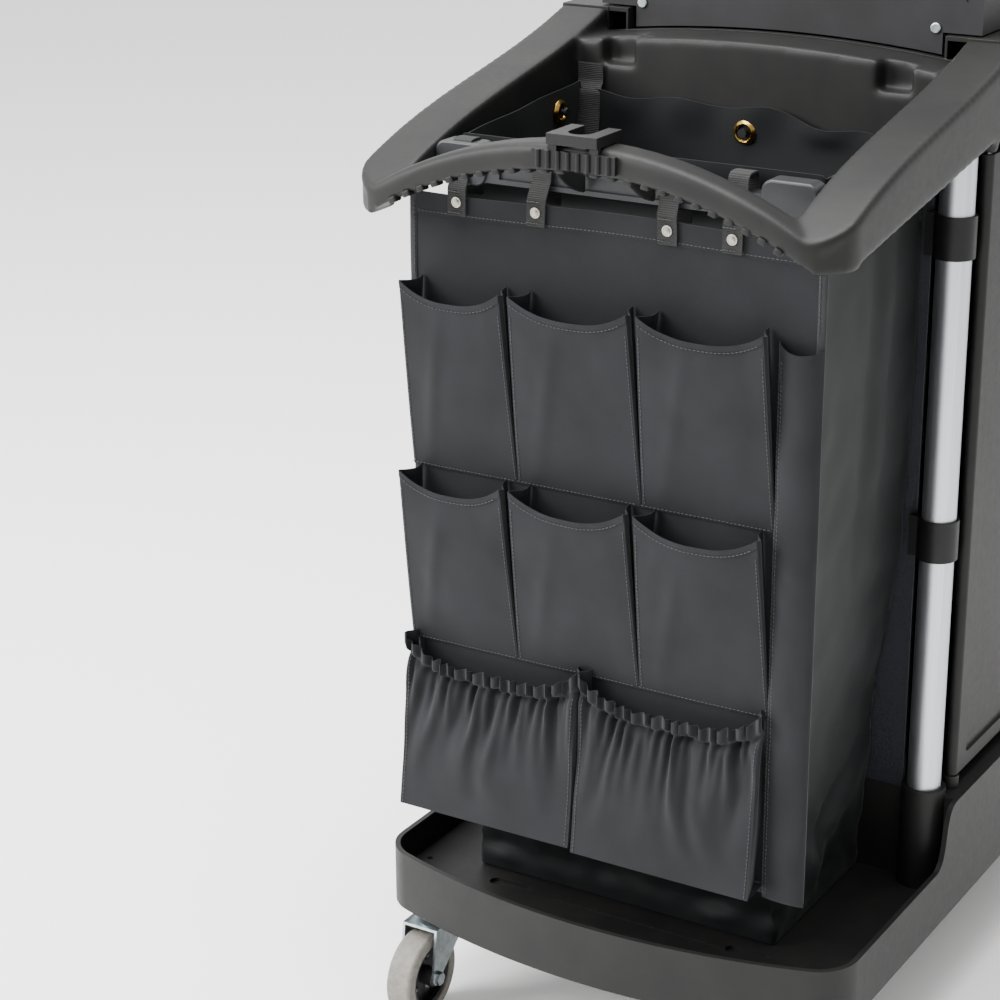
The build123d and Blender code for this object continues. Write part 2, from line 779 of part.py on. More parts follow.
def braces():
    """Two curved webs that tie the handle to the bar behind it."""
    with BuildPart() as webs:
        with BuildSketch(Plane.YZ.offset(brace_x - 2.5)):
            with BuildLine():
                top_y = handle_front_y + handle_depth - 6
                crown_low = handle_end_z + handle_rise - handle_thick / 2 - 4
                arm = bar_front_y - seat
                Polyline((top_y - 12, crown_low), (top_y, crown_low + 8), (top_y + 6, crown_low),
                         (arm, bar_top), (arm, bar_low + 2))
                ThreePointArc((arm, bar_low + 2), ((arm + top_y) / 2 - 6, bar_low + 14),
                              (top_y - 12, crown_low))
            make_face()
        extrude(amount=5)
        mirror(about=Plane.YZ)
    return webs.part


def top_frame():
    """One moulding: rails, arched handle, braces, wall, ledge and tray."""
    with BuildPart() as frame:
        add(rails())
        add(handle_bar())
        add(tray())
        add(braces())
    return frame


def hood_section(inset):
    """Front view of the hood: upright sides, round shoulders, crowned top."""
    half = hood_half_width - inset
    low = rail_top + 2
    high = height - inset
    with BuildSketch() as section:
        with BuildLine():
            Polyline((-half, high - hood_crown), (-half, low - 2 * inset), (half, low - 2 * inset),
                     (half, high - hood_crown))
            ThreePointArc((half, high - hood_crown), (0, high), (-half, high - hood_crown))
        make_face()
        fillet(section.vertices().group_by(Axis.Y)[-1], hood_shoulder - inset)
    return section.sketch


def end_wall_skirt():
    """Part of the hood's front wall that reaches down to the arched ledge."""
    half = tray_half_width - 6
    drop = ledge_drop * (half / opening_half_width) ** 2
    with BuildSketch() as skirt:
        with BuildLine():
            ThreePointArc((-half, ledge_top - drop + hood_gap), (0, ledge_top + hood_gap),
                          (half, ledge_top - drop + hood_gap))
            Polyline((half, ledge_top - drop + hood_gap), (half, rail_top + 12), (-half, rail_top + 12),
                     (-half, ledge_top - drop + hood_gap))
        make_face()
    return skirt.sketch


def hood():
    """Locking hood: a deep moulded cover, open below, with grooved end walls."""
    depth = hood_rear_y - hood_front_y
    groove_x = hood_half_width - 17
    with BuildPart() as cover:
        with BuildSketch(Plane.XZ.offset(-hood_rear_y)):
            add(hood_section(0))
        extrude(amount=depth)
        with BuildSketch(Plane.XZ.offset(-hood_rear_y + hood_wall)):
            add(hood_section(hood_wall))
        extrude(amount=depth - 2 * hood_wall, mode=Mode.SUBTRACT)
        with BuildSketch(Plane.XZ.offset(-hood_front_y - hood_wall), Plane.XZ.offset(-hood_rear_y)):
            add(end_wall_skirt())
        extrude(amount=hood_wall)
        with BuildSketch(Plane.XZ.offset(-hood_front_y - 1.5)):
            with Locations((-groove_x, (rail_top + height) / 2), (groove_x, (rail_top + height) / 2)):
                SlotOverall(height - rail_top - hood_shoulder, hood_groove, rotation=90)
        extrude(amount=4, mode=Mode.SUBTRACT)
        with BuildSketch(Plane.YZ.offset(hood_half_width - 2 * hood_wall)):
            with Locations((hood_lock_y(), hood_lock_z())):
                Circle(lock_radius + slip)
        extrude(amount=4 * hood_wall, mode=Mode.SUBTRACT)
    return cover


def hood_lock_y():
    """Middle of the hood along the cart."""
    return (hood_front_y + hood_rear_y) / 2


def hood_lock_z():
    """Height of the hood lock: its cam clears the rail when it hangs down."""
    return rail_top + cam_reach + 6


def hood_catch():
    """Folded steel catch on the rail; the lock's cam turns under its lip."""
    upright_y = hood_lock_y() + cam_reach + 3
    lip_z = hood_lock_z() + cam_width / 2 + catch_gap
    with BuildPart() as catch:
        with BuildSketch(Plane.YZ.offset(hood_half_width - hood_wall - lock_tail - catch_width)):
            with BuildLine():
                Polyline((upright_y + 18, rail_top), (upright_y + 18, rail_top + catch_thick),
                         (upright_y + catch_thick, rail_top + catch_thick),
                         (upright_y + catch_thick, lip_z + catch_thick),
                         (upright_y - 18, lip_z + catch_thick), (upright_y - 18, lip_z),
                         (upright_y, lip_z), (upright_y, rail_top), (upright_y + 18, rail_top))
            make_face()
        extrude(amount=catch_width)
    return catch


def hood_screws():
    """Round-headed screws in the lower corners of the hood's front wall."""
    with BuildPart() as screws:
        with BuildSketch(Plane.XZ.offset(-hood_front_y)):
            with Locations((-tray_half_width + 14, rail_top + 6), (tray_half_width - 14, rail_top + 6)):
                Circle(6)
        extrude(amount=2.5)
        fillet(screws.edges().filter_by(GeomType.CIRCLE).group_by(Axis.Y)[0], 1.5)
    return screws


def knuckles(first, count):
    """Hinge knuckles along the hood hinge, taking every second place from the first."""
    start = hood_front_y + hinge_margin
    pitch = (hood_rear_y - hood_front_y - 2 * hinge_margin) / hinge_knuckles
    with BuildPart() as row:
        for i in range(count):
            y = start + (first + 2 * i) * pitch
            with BuildSketch(Plane.XZ.offset(-y - pitch + 1)):
                with Locations((hood_hinge_x, hood_hinge_z)):
                    Circle(hinge_radius)
            extrude(amount=pitch - 2)
    return row.part, start, pitch


def hood_hinge_base():
    """Fixed hinge half: a leaf on the rail with three knuckles."""
    count = (hinge_knuckles + 1) // 2
    row, start, pitch = knuckles(0, count)
    with BuildPart() as half:
        add(row)
        for i in range(count):
            with BuildSketch(Plane.XY.offset(rail_top)):
                with Locations((hood_hinge_x - 8, start + (2 * i + 0.5) * pitch)):
                    Rectangle(18, pitch - 2)
            extrude(amount=2)
        add(hinge_bore(), mode=Mode.SUBTRACT)
    return half


def hood_hinge_leaf():
    """Moving hinge half: a leaf on the hood's side with two knuckles."""
    count = hinge_knuckles // 2
    row, start, pitch = knuckles(1, count)
    with BuildPart() as half:
        add(row)
        for i in range(count):
            with BuildSketch(Plane.XY.offset(hood_hinge_z)):
                with Locations((-hood_half_width - 1.5, start + (2 * i + 1.5) * pitch)):
                    Rectangle(3, pitch - 2)
            extrude(amount=24)
        add(hinge_bore(), mode=Mode.SUBTRACT)
    return half


def hinge_bore():
    """Bore through the hood hinge's knuckles."""
    with BuildPart() as bore:
        with BuildSketch(Plane.XZ.offset(-hood_rear_y)):
            with Locations((hood_hinge_x, hood_hinge_z)):
                Circle(hood_pin_radius + slip)
        extrude(amount=hood_rear_y - hood_front_y)
    return bore.part


def hood_hinge_pin():
    """Pin through all five knuckles."""
    with BuildPart() as pin:
        with BuildSketch(Plane.XZ.offset(-hood_rear_y + hinge_margin - 2)):
            with Locations((hood_hinge_x, hood_hinge_z)):
                Circle(hood_pin_radius)
        extrude(amount=hood_rear_y - hood_front_y - 2 * hinge_margin + 4)
    return pin


def organizer_bar():
    """Flat moulded bar behind the handle, with deep round-cornered ends on the rails."""
    end = opening_half_width
    mid_y = bar_front_y + bar_depth / 2
    with BuildPart() as bar:
        with BuildSketch(Plane.XZ.offset(-bar_front_y - bar_depth)):
            with Locations((0, (bar_low + bar_top) / 2)):
                Rectangle(2 * end, bar_top - bar_low)
        extrude(amount=bar_depth)
        with BuildSketch(Plane.XZ.offset(-mid_y - bar_end_depth / 2)):
            for side in (-1, 1):
                with Locations((side * (end - bar_end_width / 2), bar_end_top - bar_end_height / 2)):
                    RectangleRounded(bar_end_width, bar_end_height, 12)
        extrude(amount=bar_end_depth)
        with BuildSketch(Plane.XZ.offset(-bar_front_y - 3)):
            with Locations((0, (bar_low + bar_top) / 2)):
                Rectangle(2 * end - 150, bar_top - bar_low - 10)
        extrude(amount=6, mode=Mode.SUBTRACT)
        fillet(bar.edges().filter_by(Axis.X).group_by(Axis.Z)[-1], 3)
    return bar


def tool_grip():
    """Ribbed clip on the front of the handle, with an open jaw for a broom handle."""
    back_y = handle_front_y
    depth = handle_front_y + length / 2
    crown = handle_end_z + handle_rise + handle_thick / 2
    low = crown - handle_thick + 3
    rib = 3.0
    with BuildPart() as grip:
        with BuildSketch(Plane.XY.offset(low)):
            with Locations((0, back_y - (depth - rib) / 2)):
                Rectangle(92, depth - rib)
            with Locations((0, back_y - depth + rib)):
                with GridLocations(11, 1, 8, 1):
                    Circle(rib)
        extrude(amount=18)
        with BuildSketch(Plane.XY.offset(crown)):
            with Locations((0, back_y + handle_depth / 2 - depth / 2)):
                Rectangle(56, handle_depth + depth)
            with Locations((0, back_y + handle_depth)):
                SlotOverall(2 * handle_depth, 26, rotation=90, mode=Mode.SUBTRACT)
        extrude(amount=11)
        with BuildSketch(Plane.XY.offset(low + 18)):
            with Locations((-23, back_y - (depth - rib) / 2), (23, back_y - (depth - rib) / 2)):
                Rectangle(10, depth - rib)
        extrude(amount=crown - low - 18)
    return grip


def bag_loft(inset, bottom, top):
    """Closed body of the bag: drawn in at the deck, stepped back behind the organizer's bar."""
    behind_bar = organizer_y + 42
    back = wall_y - 9 - inset
    levels = [(bottom, organizer_y + 68, 205, 168), (930, organizer_y + cloth + 2, 209, 209),
              (968, behind_bar, 209, 209), (top, behind_bar, 209, 209)]
    with BuildPart() as body:
        for z, near, left, right in levels:
            with BuildSketch(Plane.XY.offset(z)):
                with Locations(((right - left) / 2, (near + inset + back) / 2)):
                    RectangleRounded(right + left - 2 * inset, back - near - inset, 14 - inset)
        loft(ruled=True)
    return body.part


def waste_bag():
    """Open-topped cloth bag hanging inside the top frame."""
    with BuildPart() as bag:
        add(bag_loft(0, deck_top + seat, bag_top))
        add(bag_loft(bag_wall, deck_top + seat + bag_wall, bag_top + 1), mode=Mode.SUBTRACT)
        for plane in hook_planes():
            with BuildSketch(plane.offset(-4)):
                Circle(grommet_hole)
            extrude(amount=20, mode=Mode.SUBTRACT)
    return bag


def hook_planes():
    """Plane at each grommet, on the frame's inner face and facing the bag."""
    back = Plane(origin=(0, wall_y, grommet_z), z_dir=(0, -1, 0))
    sides = [Plane(origin=(-side * opening_half_width, organizer_y + 245, grommet_z + 10),
                   z_dir=(side, 0, 0)) for side in (1, -1)]
    return [back] + sides


def bag_hooks():
    """Short pegs with round heads that the grommets slip over."""
    with BuildPart() as hooks:
        for plane in hook_planes():
            with BuildSketch(plane):
                Circle(3)
            extrude(amount=17)
            with BuildSketch(plane.offset(17)):
                Circle(5)
            extrude(amount=3)
    return hooks


def bag_grommets():
    """Rolled brass rings in the bag's top hem."""
    with BuildPart() as rings:
        for plane, face in zip(hook_planes(), (9 + bag_wall, 9, 9)):
            with BuildSketch(plane.offset(face)):
                Circle(grommet_radius)
                Circle(grommet_hole, mode=Mode.SUBTRACT)
            extrude(amount=2)
    return rings


def organizer_panel():
    """Flat cloth back of the organizer."""
    with BuildPart() as panel:
        with BuildSketch(Plane.XZ.offset(-organizer_y - cloth)):
            with Locations((organizer_x, (organizer_low + organizer_top) / 2)):
                Rectangle(organizer_width, organizer_top - organizer_low)
            for side in (-1, 1):
                with Locations((side * width / 2, organizer_top)):
                    Rectangle(width - 2 * opening_half_width + 4, 2 * tuck, mode=Mode.SUBTRACT)
        extrude(amount=cloth)
    return panel


def pockets(spans, low, high, depth_low, depth_high):
    """Row of cloth pockets on the panel: front, two sides and a bottom, open above."""
    with BuildPart() as row:
        for x0, x1 in spans:
            with BuildSketch(Plane.YZ.offset(x0)):
                with BuildLine():
                    Polyline((organizer_y, low), (organizer_y - depth_low, low),
                             (organizer_y - depth_high, high), (organizer_y, high), (organizer_y, low))
                make_face()
            extrude(amount=x1 - x0)
            with BuildSketch(Plane.YZ.offset(x0 + cloth)):
                with BuildLine():
                    Polyline((organizer_y, low + cloth), (organizer_y - depth_low + cloth, low + cloth),
                             (organizer_y - depth_high + cloth, high + 1), (organizer_y, high + 1),
                             (organizer_y, low + cloth))
                make_face()
            extrude(amount=x1 - x0 - 2 * cloth, mode=Mode.SUBTRACT)
    return row


def organizer_straps():
    """Four loops that hang the organizer from its bar."""
    with BuildPart() as straps:
        for x in strap_places:
            with BuildSketch(Plane.YZ.offset(x - strap_width / 2)):
                add(strap_path(abs(x) + strap_width / 2 > opening_half_width - bar_end_width))
            extrude(amount=strap_width)
    return straps


def snap_studs():
    """Round snap caps on the front straps."""
    with BuildPart() as studs:
        with BuildSketch(Plane.XZ.offset(-organizer_y + strap_thick + 0.1)):
            with Locations(*[(x, snap_z) for x in strap_places]):
                Circle(snap_radius)
        extrude(amount=3)
        fillet(studs.edges().filter_by(GeomType.CIRCLE).group_by(Axis.Y)[0], 2)
    return studs


def bag_strap():
    """Wide webbing that ties the bag's back corner to the wall behind it."""
    x = -opening_half_width + 20
    with BuildPart() as webbing:
        with BuildSketch(Plane.XY.offset(wall_low)):
            with Locations((x, wall_y - 9 + 1.3)):
                Rectangle(30, strap_thick)
        extrude(amount=bag_top + 40 - wall_low)
        with BuildSketch(Plane.XZ.offset(-wall_y)):
            with Locations((x, bag_top + 30)):
                Rectangle(30, 20)
        extrude(amount=7)
    return webbing


def strap_path(round_end):
    """Side view of a strap: up the organizer's front, over the bar, down behind it."""
    middle = bar_front_y + bar_depth / 2
    half = (bar_end_depth if round_end else bar_depth) / 2 + strap_thick / 2
    top = (bar_end_top if round_end else bar_top) + strap_thick / 2
    front = organizer_y - strap_thick / 2
    with BuildSketch() as side:
        with BuildLine():
            Polyline((front, snap_z - 14), (front, organizer_top + 2), (middle - half, organizer_top + 16),
                     (middle - half, top), (middle + half, top), (middle + half, bar_low - 20))
        trace(line_width=strap_thick)
    return side.sketch


def build_all():
    """Make every piece and write it under its own name."""
    save(base_platform(), "base_platform")
    save(top_frame(), "top_frame")
    for side, word in ((-1, "left"), (1, "right")):
        centre = wheel_plane(side * caster_x, caster_y - caster_trail, caster_radius)
        save(caster_head(side), f"{word}_caster_head")
        save(caster_fork(side), f"{word}_caster_fork")
        save(axle_bolt(side), f"{word}_caster_axle")
        save(tyre(centre, caster_radius, caster_hub_radius, caster_tread), f"{word}_caster_tyre")
        save(hub(centre, caster_hub_radius, caster_axle_radius + slip, caster_tread - 4, 11,
                 fork_gap - 1, 5), f"{word}_caster_hub")
        centre = wheel_plane(side * rear_wheel_x, rear_wheel_y, rear_wheel_radius)
        save(tyre(centre, rear_wheel_radius, rear_hub_radius, rear_tread), f"{word}_rear_tyre")
        save(hub(centre, rear_hub_radius, rear_axle_radius + slip, rear_tread - 4, 18,
                 rear_tread, 6), f"{word}_rear_hub")
        save(axle_bracket(side), f"{word}_axle_bracket")
        save(post(side * post_x, post_front_y), f"{word}_front_post")
        save(post(side * post_x, post_rear_y), f"{word}_rear_post")
    save(rear_axle(), "rear_axle")
    save(rear_axle_caps(), "rear_axle_caps")
    save(post_clips(), "post_clips")

    end_width = 2 * (post_x - post_radius - socket_wall - 1)
    side_length = cabinet_length - 2 * post_radius - 8
    middle_y = (post_front_y + post_rear_y) / 2
    save(flat_panel(end_width, panel_thick, 0, wall_y - 1 - panel_thick / 2, sill_top, wall_low - 2),
         "cabinet_end_panel")
    save(flat_panel(end_width, panel_thick, 0, post_rear_y, sill_top, rail_low),
         "cabinet_rear_panel")
    save(flat_panel(panel_thick, side_length, -door_x + 4, middle_y, sill_top, rail_low),
         "cabinet_side_panel")
    save(shelf(shelf_heights[0]), "lower_shelf")
    save(shelf(shelf_heights[1]), "upper_shelf")
    save(shelf_rails(), "shelf_rails")

    save(door(post_front_y + hinge_offset, 1), "front_door")
    save(door(post_rear_y - hinge_offset, -1), "rear_door")
    save(door_hinge_pins(), "door_hinge_pins")
    centre = wheel_plane(door_x + door_thick / 2, lock_y(), lock_height)
    save(lock_barrel(centre, door_thick), "door_lock_barrel")
    save(lock_cam(centre, door_thick, 90), "door_lock_cam")

    save(hood(), "hood")
    save(hood_screws(), "hood_screws")
    save(hood_hinge_base(), "hood_hinge_base")
    save(hood_hinge_leaf(), "hood_hinge_leaf")
    save(hood_hinge_pin(), "hood_hinge_pin")
    centre = wheel_plane(hood_half_width, hood_lock_y(), hood_lock_z())
    save(lock_barrel(centre, hood_wall), "hood_lock_barrel")
    save(lock_cam(centre, hood_wall, -90), "hood_lock_cam")
    save(hood_catch(), "hood_catch")

    save(organizer_bar(), "organizer_bar")
    save(tool_grip(), "tool_grip")
    save(waste_bag(), "waste_bag")
    save(bag_hooks(), "bag_hooks")
    save(bag_grommets(), "bag_grommets")
    save(bag_strap(), "bag_strap")
    save(organizer_panel(), "organizer_panel")
    left = organizer_x - organizer_width / 2
    right = organizer_x + organizer_width / 2
    inner = right - long_pocket_width
    thirds = [(left, left + 128), (left + 134, left + 275), (left + 281, inner - 2)]
    halves = [(left, left + 212), (left + 216, inner - 2)]
    save(pockets(thirds, top_pocket_low, top_pocket_high, 5, 34), "organizer_top_pockets")
    save(pockets(thirds, middle_pocket_low, middle_pocket_high, 5, 34), "organizer_middle_pockets")
    save(pockets(halves, low_pocket_low, low_pocket_high, 34, 18), "organizer_lower_pockets")
    save(pockets([(inner, right)], organizer_low, long_pocket_high, 6, 12), "organizer_long_pocket")
    save(organizer_straps(), "organizer_straps")
    save(snap_studs(), "snap_studs")


os.makedirs("parts", exist_ok=True)
build_all()
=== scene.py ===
"""Looks of the housekeeping cart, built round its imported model.

Blender units are metres.  X runs across the cart, Y along it with the bag end at -Y, Z is up.
Soft pieces are laid out in millimetres from the organizer's front face.
"""

import json
import math

import bpy
from mathutils import Matrix, Vector, noise


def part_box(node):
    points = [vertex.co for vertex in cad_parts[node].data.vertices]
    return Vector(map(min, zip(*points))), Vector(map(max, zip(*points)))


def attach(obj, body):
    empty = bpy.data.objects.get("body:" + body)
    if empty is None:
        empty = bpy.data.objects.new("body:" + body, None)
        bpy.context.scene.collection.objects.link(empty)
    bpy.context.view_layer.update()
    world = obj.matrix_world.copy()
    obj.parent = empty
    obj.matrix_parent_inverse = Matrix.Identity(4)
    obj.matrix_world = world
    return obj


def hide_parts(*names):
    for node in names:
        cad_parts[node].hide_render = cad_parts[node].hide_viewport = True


MM = 0.001

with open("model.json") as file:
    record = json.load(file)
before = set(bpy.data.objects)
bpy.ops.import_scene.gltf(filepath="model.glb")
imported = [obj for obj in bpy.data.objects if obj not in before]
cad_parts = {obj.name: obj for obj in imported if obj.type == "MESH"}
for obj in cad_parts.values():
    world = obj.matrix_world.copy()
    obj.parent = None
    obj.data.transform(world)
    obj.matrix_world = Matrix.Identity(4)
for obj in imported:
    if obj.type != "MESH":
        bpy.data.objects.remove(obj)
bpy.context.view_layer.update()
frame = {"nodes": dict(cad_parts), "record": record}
bpy.ops.object.select_all(action="DESELECT")

organizer_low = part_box("organizer_panel")[0]
body_of = {node: body
           for body, nodes in frame["record"]["behaviour"]["bodies"].items() for node in nodes}
slot_of = {row["node"]: row["material_slot"] for row in frame["record"]["subparts"]}
cart = body_of["base_platform"]


def at(x, y, z):
    """A point in millimetres, with y counted from the organizer's front face."""
    return Vector((x * MM, organizer_low.y + y * MM, z * MM))


# ---------------------------------------------------------------- materials

def colour(code):
    """An sRGB hex colour as linear RGBA."""
    channels = [int(code[i:i + 2], 16) / 255 for i in (0, 2, 4)]
    return [c / 12.92 if c <= 0.04045 else ((c + 0.055) / 1.055) ** 2.4 for c in channels] + [1.0]


def add_node(tree, kind, settings=None, links=None):
    """A node with its settings (sockets by name or number, else properties) and its links."""
    node = tree.nodes.new(kind)
    for key, value in (settings or {}).items():
        if isinstance(key, int) or key in node.inputs:
            node.inputs[key].default_value = value
        else:
            setattr(node, key, value)
    for key, source in (links or {}).items():
        tree.links.new(source, node.inputs[key])
    return node


def new_material(name):
    """An empty material with its tree, its shader and Object coordinates."""
    material = bpy.data.materials.new(name)
    material.use_nodes = True
    tree = material.node_tree
    place = add_node(tree, "ShaderNodeTexCoord").outputs["Object"]
    return material, tree, tree.nodes["Principled BSDF"], place


def surface(tree, shader, shade, ends, span=(0.35, 0.65), marks=None, rough=(0.5, 0.5),
            height=None, depth_mm=0.1, strength=0.5):
    """Wire a material: its shade runs between two colours, its gloss follows the marks, and the
    height gives it relief.  Each pattern that is None leaves its socket alone."""
    share = add_node(tree, "ShaderNodeMapRange", {"From Min": span[0], "From Max": span[1]},
                     {"Value": shade}).outputs["Result"]
    mixed = add_node(tree, "ShaderNodeMix",
                     {"data_type": "RGBA", 6: colour(ends[0]), 7: colour(ends[1])}, {0: share})
    tree.links.new(mixed.outputs[2], shader.inputs["Base Color"])
    if marks is not None:
        polish = add_node(tree, "ShaderNodeMapRange", {"To Min": rough[0], "To Max": rough[1]},
                          {"Value": marks})
        tree.links.new(polish.outputs["Result"], shader.inputs["Roughness"])
    if height is not None:
        bump = add_node(tree, "ShaderNodeBump", {"Strength": strength, "Distance": depth_mm * MM},
                        {"Height": height})
        tree.links.new(bump.outputs["Normal"], shader.inputs["Normal"])


def moulded_plastic(name, dark, light, rough, grain_mm, grain_depth_mm, specular=0.5):
    """Injection moulded plastic: a fine spark-eroded grain, flow marks that vary the shade over
    tens of millimetres, and handling scuffs that vary the gloss."""
    material, tree, shader, place = new_material(name)
    flow = add_node(tree, "ShaderNodeTexNoise",
                    {"Scale": 1 / (60 * MM), "Detail": 4.0, "Roughness": 0.6},
                    {"Vector": place}).outputs["Fac"]
    scuffs = add_node(tree, "ShaderNodeTexNoise",
                      {"Scale": 1 / (9 * MM), "Detail": 6.0, "Roughness": 0.7},
                      {"Vector": place}).outputs["Fac"]
    grain = add_node(tree, "ShaderNodeTexNoise", {"Scale": 1 / (grain_mm * MM), "Detail": 2.0},
                     {"Vector": place}).outputs["Fac"]
    surface(tree, shader, flow, (dark, light), marks=scuffs, rough=(rough - 0.07, rough + 0.09),
            height=grain, depth_mm=grain_depth_mm)
    shader.inputs["IOR"].default_value = 1.5
    shader.inputs["Specular IOR Level"].default_value = specular
    return material


def pebbled_panel():
    """ABS sheet with a coarse pebbled face: rounded cells about 2.4 mm across, with painted shade
    that darkens the hollows between the cells and lightens the dome tops.
    """
    material, tree, shader, place = new_material("pebble_grain_ABS_sheet")
    cells = add_node(tree, "ShaderNodeTexVoronoi",
                     {"Scale": 1 / (2.4 * MM), "feature": "SMOOTH_F1"},
                     {"Vector": place}).outputs["Distance"]
    dome_relief_and_painted_shade = add_node(tree, "ShaderNodeMath", {"operation": "SUBTRACT", 0: 1.0},
                     {1: cells}).outputs["Value"]
    # painted shade: the colour runs from dark in the hollows between the cells to light on the dome
    # tops, following the same relief as the bump
    surface(tree, shader, dome_relief_and_painted_shade, ("0d0f14", "1d2028"), (0.2, 0.8), height=dome_relief_and_painted_shade, depth_mm=0.35,
            strength=0.9)
    shader.inputs["Roughness"].default_value = 0.5
    return material


def metal(name, dark, light, rough, marks_mm):
    """Metal whose shade and gloss vary with the marks that drawing, turning or plating leaves;
    marks_mm is their size along X, Y and Z."""
    material, tree, shader, place = new_material(name)
    stretched = add_node(tree, "ShaderNodeMapping", {"Scale": [1 / (m * MM) for m in marks_mm]},
                         {"Vector": place}).outputs["Vector"]
    marks = add_node(tree, "ShaderNodeTexNoise", {"Scale": 1.0, "Detail": 5.0, "Roughness": 0.6},
                     {"Vector": stretched}).outputs["Fac"]
    surface(tree, shader, marks, (dark, light), marks=marks, rough=(rough - 0.05, rough + 0.06),
            height=marks, depth_mm=0.01, strength=0.2)
    shader.inputs["Metallic"].default_value = 1.0
    return material


def rubber(name, dark, light, rough):
    """Moulded elastomer: matt, faintly mottled, with dust worked into it."""
    material, tree, shader, place = new_material(name)
    dust = add_node(tree, "ShaderNodeTexNoise",
                    {"Scale": 1 / (7 * MM), "Detail": 8.0, "Roughness": 0.75},
                    {"Vector": place}).outputs["Fac"]
    fine = add_node(tree, "ShaderNodeTexNoise", {"Scale": 1 / (0.8 * MM), "Detail": 2.0},
                    {"Vector": place}).outputs["Fac"]
    surface(tree, shader, dust, (dark, light), (0.3, 0.7), marks=dust,
            rough=(rough - 0.08, rough + 0.1), height=fine, depth_mm=0.08, strength=0.4)
    return material


def woven_cloth(name, dark, light, thread_mm, rough, sheen):
    """Plain-woven coated polyester: two crossed sets of threads, slubs and cloudy patches that
    vary the shade, and a soft sheen at grazing angles.  The threads are drawn about twice as
    coarse as real ones, which would not show."""
    material, tree, shader, place = new_material(name)
    bands = {"wave_type": "BANDS", "Scale": 0.314 / (thread_mm * MM), "Distortion": 1.5,
             "Detail": 1.0, "Detail Scale": 1.5}
    across = add_node(tree, "ShaderNodeTexWave", dict(bands, bands_direction="X"),
                      {"Vector": place})
    upright = add_node(tree, "ShaderNodeTexWave", dict(bands, bands_direction="Z"),
                       {"Vector": place})
    weave = add_node(tree, "ShaderNodeMath", {"operation": "MULTIPLY"},
                     {0: across.outputs["Fac"], 1: upright.outputs["Fac"]})
    slubs = add_node(tree, "ShaderNodeTexNoise",
                     {"Scale": 1 / (2.5 * MM), "Detail": 6.0, "Roughness": 0.7},
                     {"Vector": place})
    clouds = add_node(tree, "ShaderNodeTexNoise", {"Scale": 1 / (70 * MM), "Detail": 3.0},
                      {"Vector": place})
    shade = add_node(tree, "ShaderNodeMath", {"operation": "MULTIPLY_ADD", 1: 0.5},
                     {0: slubs.outputs["Fac"], 2: clouds.outputs["Fac"]})
    surface(tree, shader, shade.outputs["Value"], (dark, light), (0.55, 0.95),
            height=weave.outputs["Value"], depth_mm=0.15, strength=0.4)
    shader.inputs["Roughness"].default_value = rough
    shader.inputs["Sheen Weight"].default_value = sheen
    shader.inputs["Sheen Roughness"].default_value = 0.45
    shader.inputs["Specular IOR Level"].default_value = 0.2
    return material


def ribbed_webbing():
    """Polypropylene webbing: ribs 2 mm apart across its length, matt, with a painted highlight on
    the rib crests and painted shade in the grooves.
    """
    material, tree, shader, place = new_material("ribbed_polypropylene_webbing")
    ribs = add_node(tree, "ShaderNodeTexWave",
                    {"wave_type": "BANDS", "bands_direction": "Z", "Scale": 0.314 / (2.0 * MM),
                     "Distortion": 0.0, "Detail": 0.0}, {"Vector": place}).outputs["Fac"]
    # painted light: the colour follows the ribs, lighter on the crests as highlight and darker in
    # the grooves as shade
    surface(tree, shader, ribs, ("0b0b0b", "1c1c1b"), (0.1, 0.9), height=ribs, depth_mm=0.4,
            strength=0.9)
    shader.inputs["Roughness"].default_value = 0.85
    return material


def sewing_thread():
    """Twisted polyester thread, a little paler than the cloth it holds."""
    material, tree, shader, place = new_material("polyester_sewing_thread")
    twist = add_node(tree, "ShaderNodeTexNoise", {"Scale": 1 / (1.5 * MM), "Detail": 2.0},
                     {"Vector": place}).outputs["Fac"]
    surface(tree, shader, twist, ("26282b", "36383c"))
    shader.inputs["Roughness"].default_value = 0.6
    return material


materials = {
    "black_moulding": moulded_plastic("moulded_polyethylene_black",
                                      "121212", "181817", 0.5, 0.9, 0.05, 0.22),
    "hood_moulding": moulded_plastic("moulded_polyethylene_hood",
                                     "1d1d1e", "232325", 0.48, 1.0, 0.05, 0.25),
    "bar_moulding": moulded_plastic("moulded_polypropylene_bar",
                                    "1d1e20", "242528", 0.38, 0.9, 0.03, 0.35),
    "door_moulding": moulded_plastic("moulded_ABS_door",
                                     "0f0f0e", "151413", 0.52, 1.1, 0.06, 0.22),
    "dark_hub": moulded_plastic("moulded_polypropylene_hub",
                                "0b0b0b", "101010", 0.42, 0.8, 0.03),
    "textured_panel": pebbled_panel(),
    "rubber_strip": moulded_plastic("moulded_nylon_clip",
                                    "0a0a0a", "101010", 0.46, 0.8, 0.03, 0.25),
    "aluminium_tube": metal("anodised_aluminium", "b4b7bc", "c4c7cb", 0.4, (6, 6, 600)),
    "zinc_steel": metal("zinc_plated_steel", "9aa3a7", "bcc2c4", 0.3, (9, 9, 9)),
    "nickel": metal("nickel_plated_steel", "8d8980", "a8a49b", 0.24, (4, 4, 4)),
    "brass_ring": metal("rolled_brass", "8f6f30", "bd9c55", 0.22, (5, 5, 5)),
    "grey_tread": rubber("thermoplastic_rubber_tyre", "5b5751", "7c7871", 0.6),
    "bag_cloth": woven_cloth("coated_nylon_bag_cloth", "090b0c", "0d1011", 1.1, 0.62, 0.04),
    "pocket_cloth": woven_cloth("600D_polyester_oxford_cloth", "131416", "1a1b1e", 1.2, 0.78, 0.06),
    "binding": woven_cloth("woven_edge_binding", "1a1b1d", "232426", 1.2, 0.7, 0.15),
    "webbing": ribbed_webbing(),
    "thread": sewing_thread(),
}


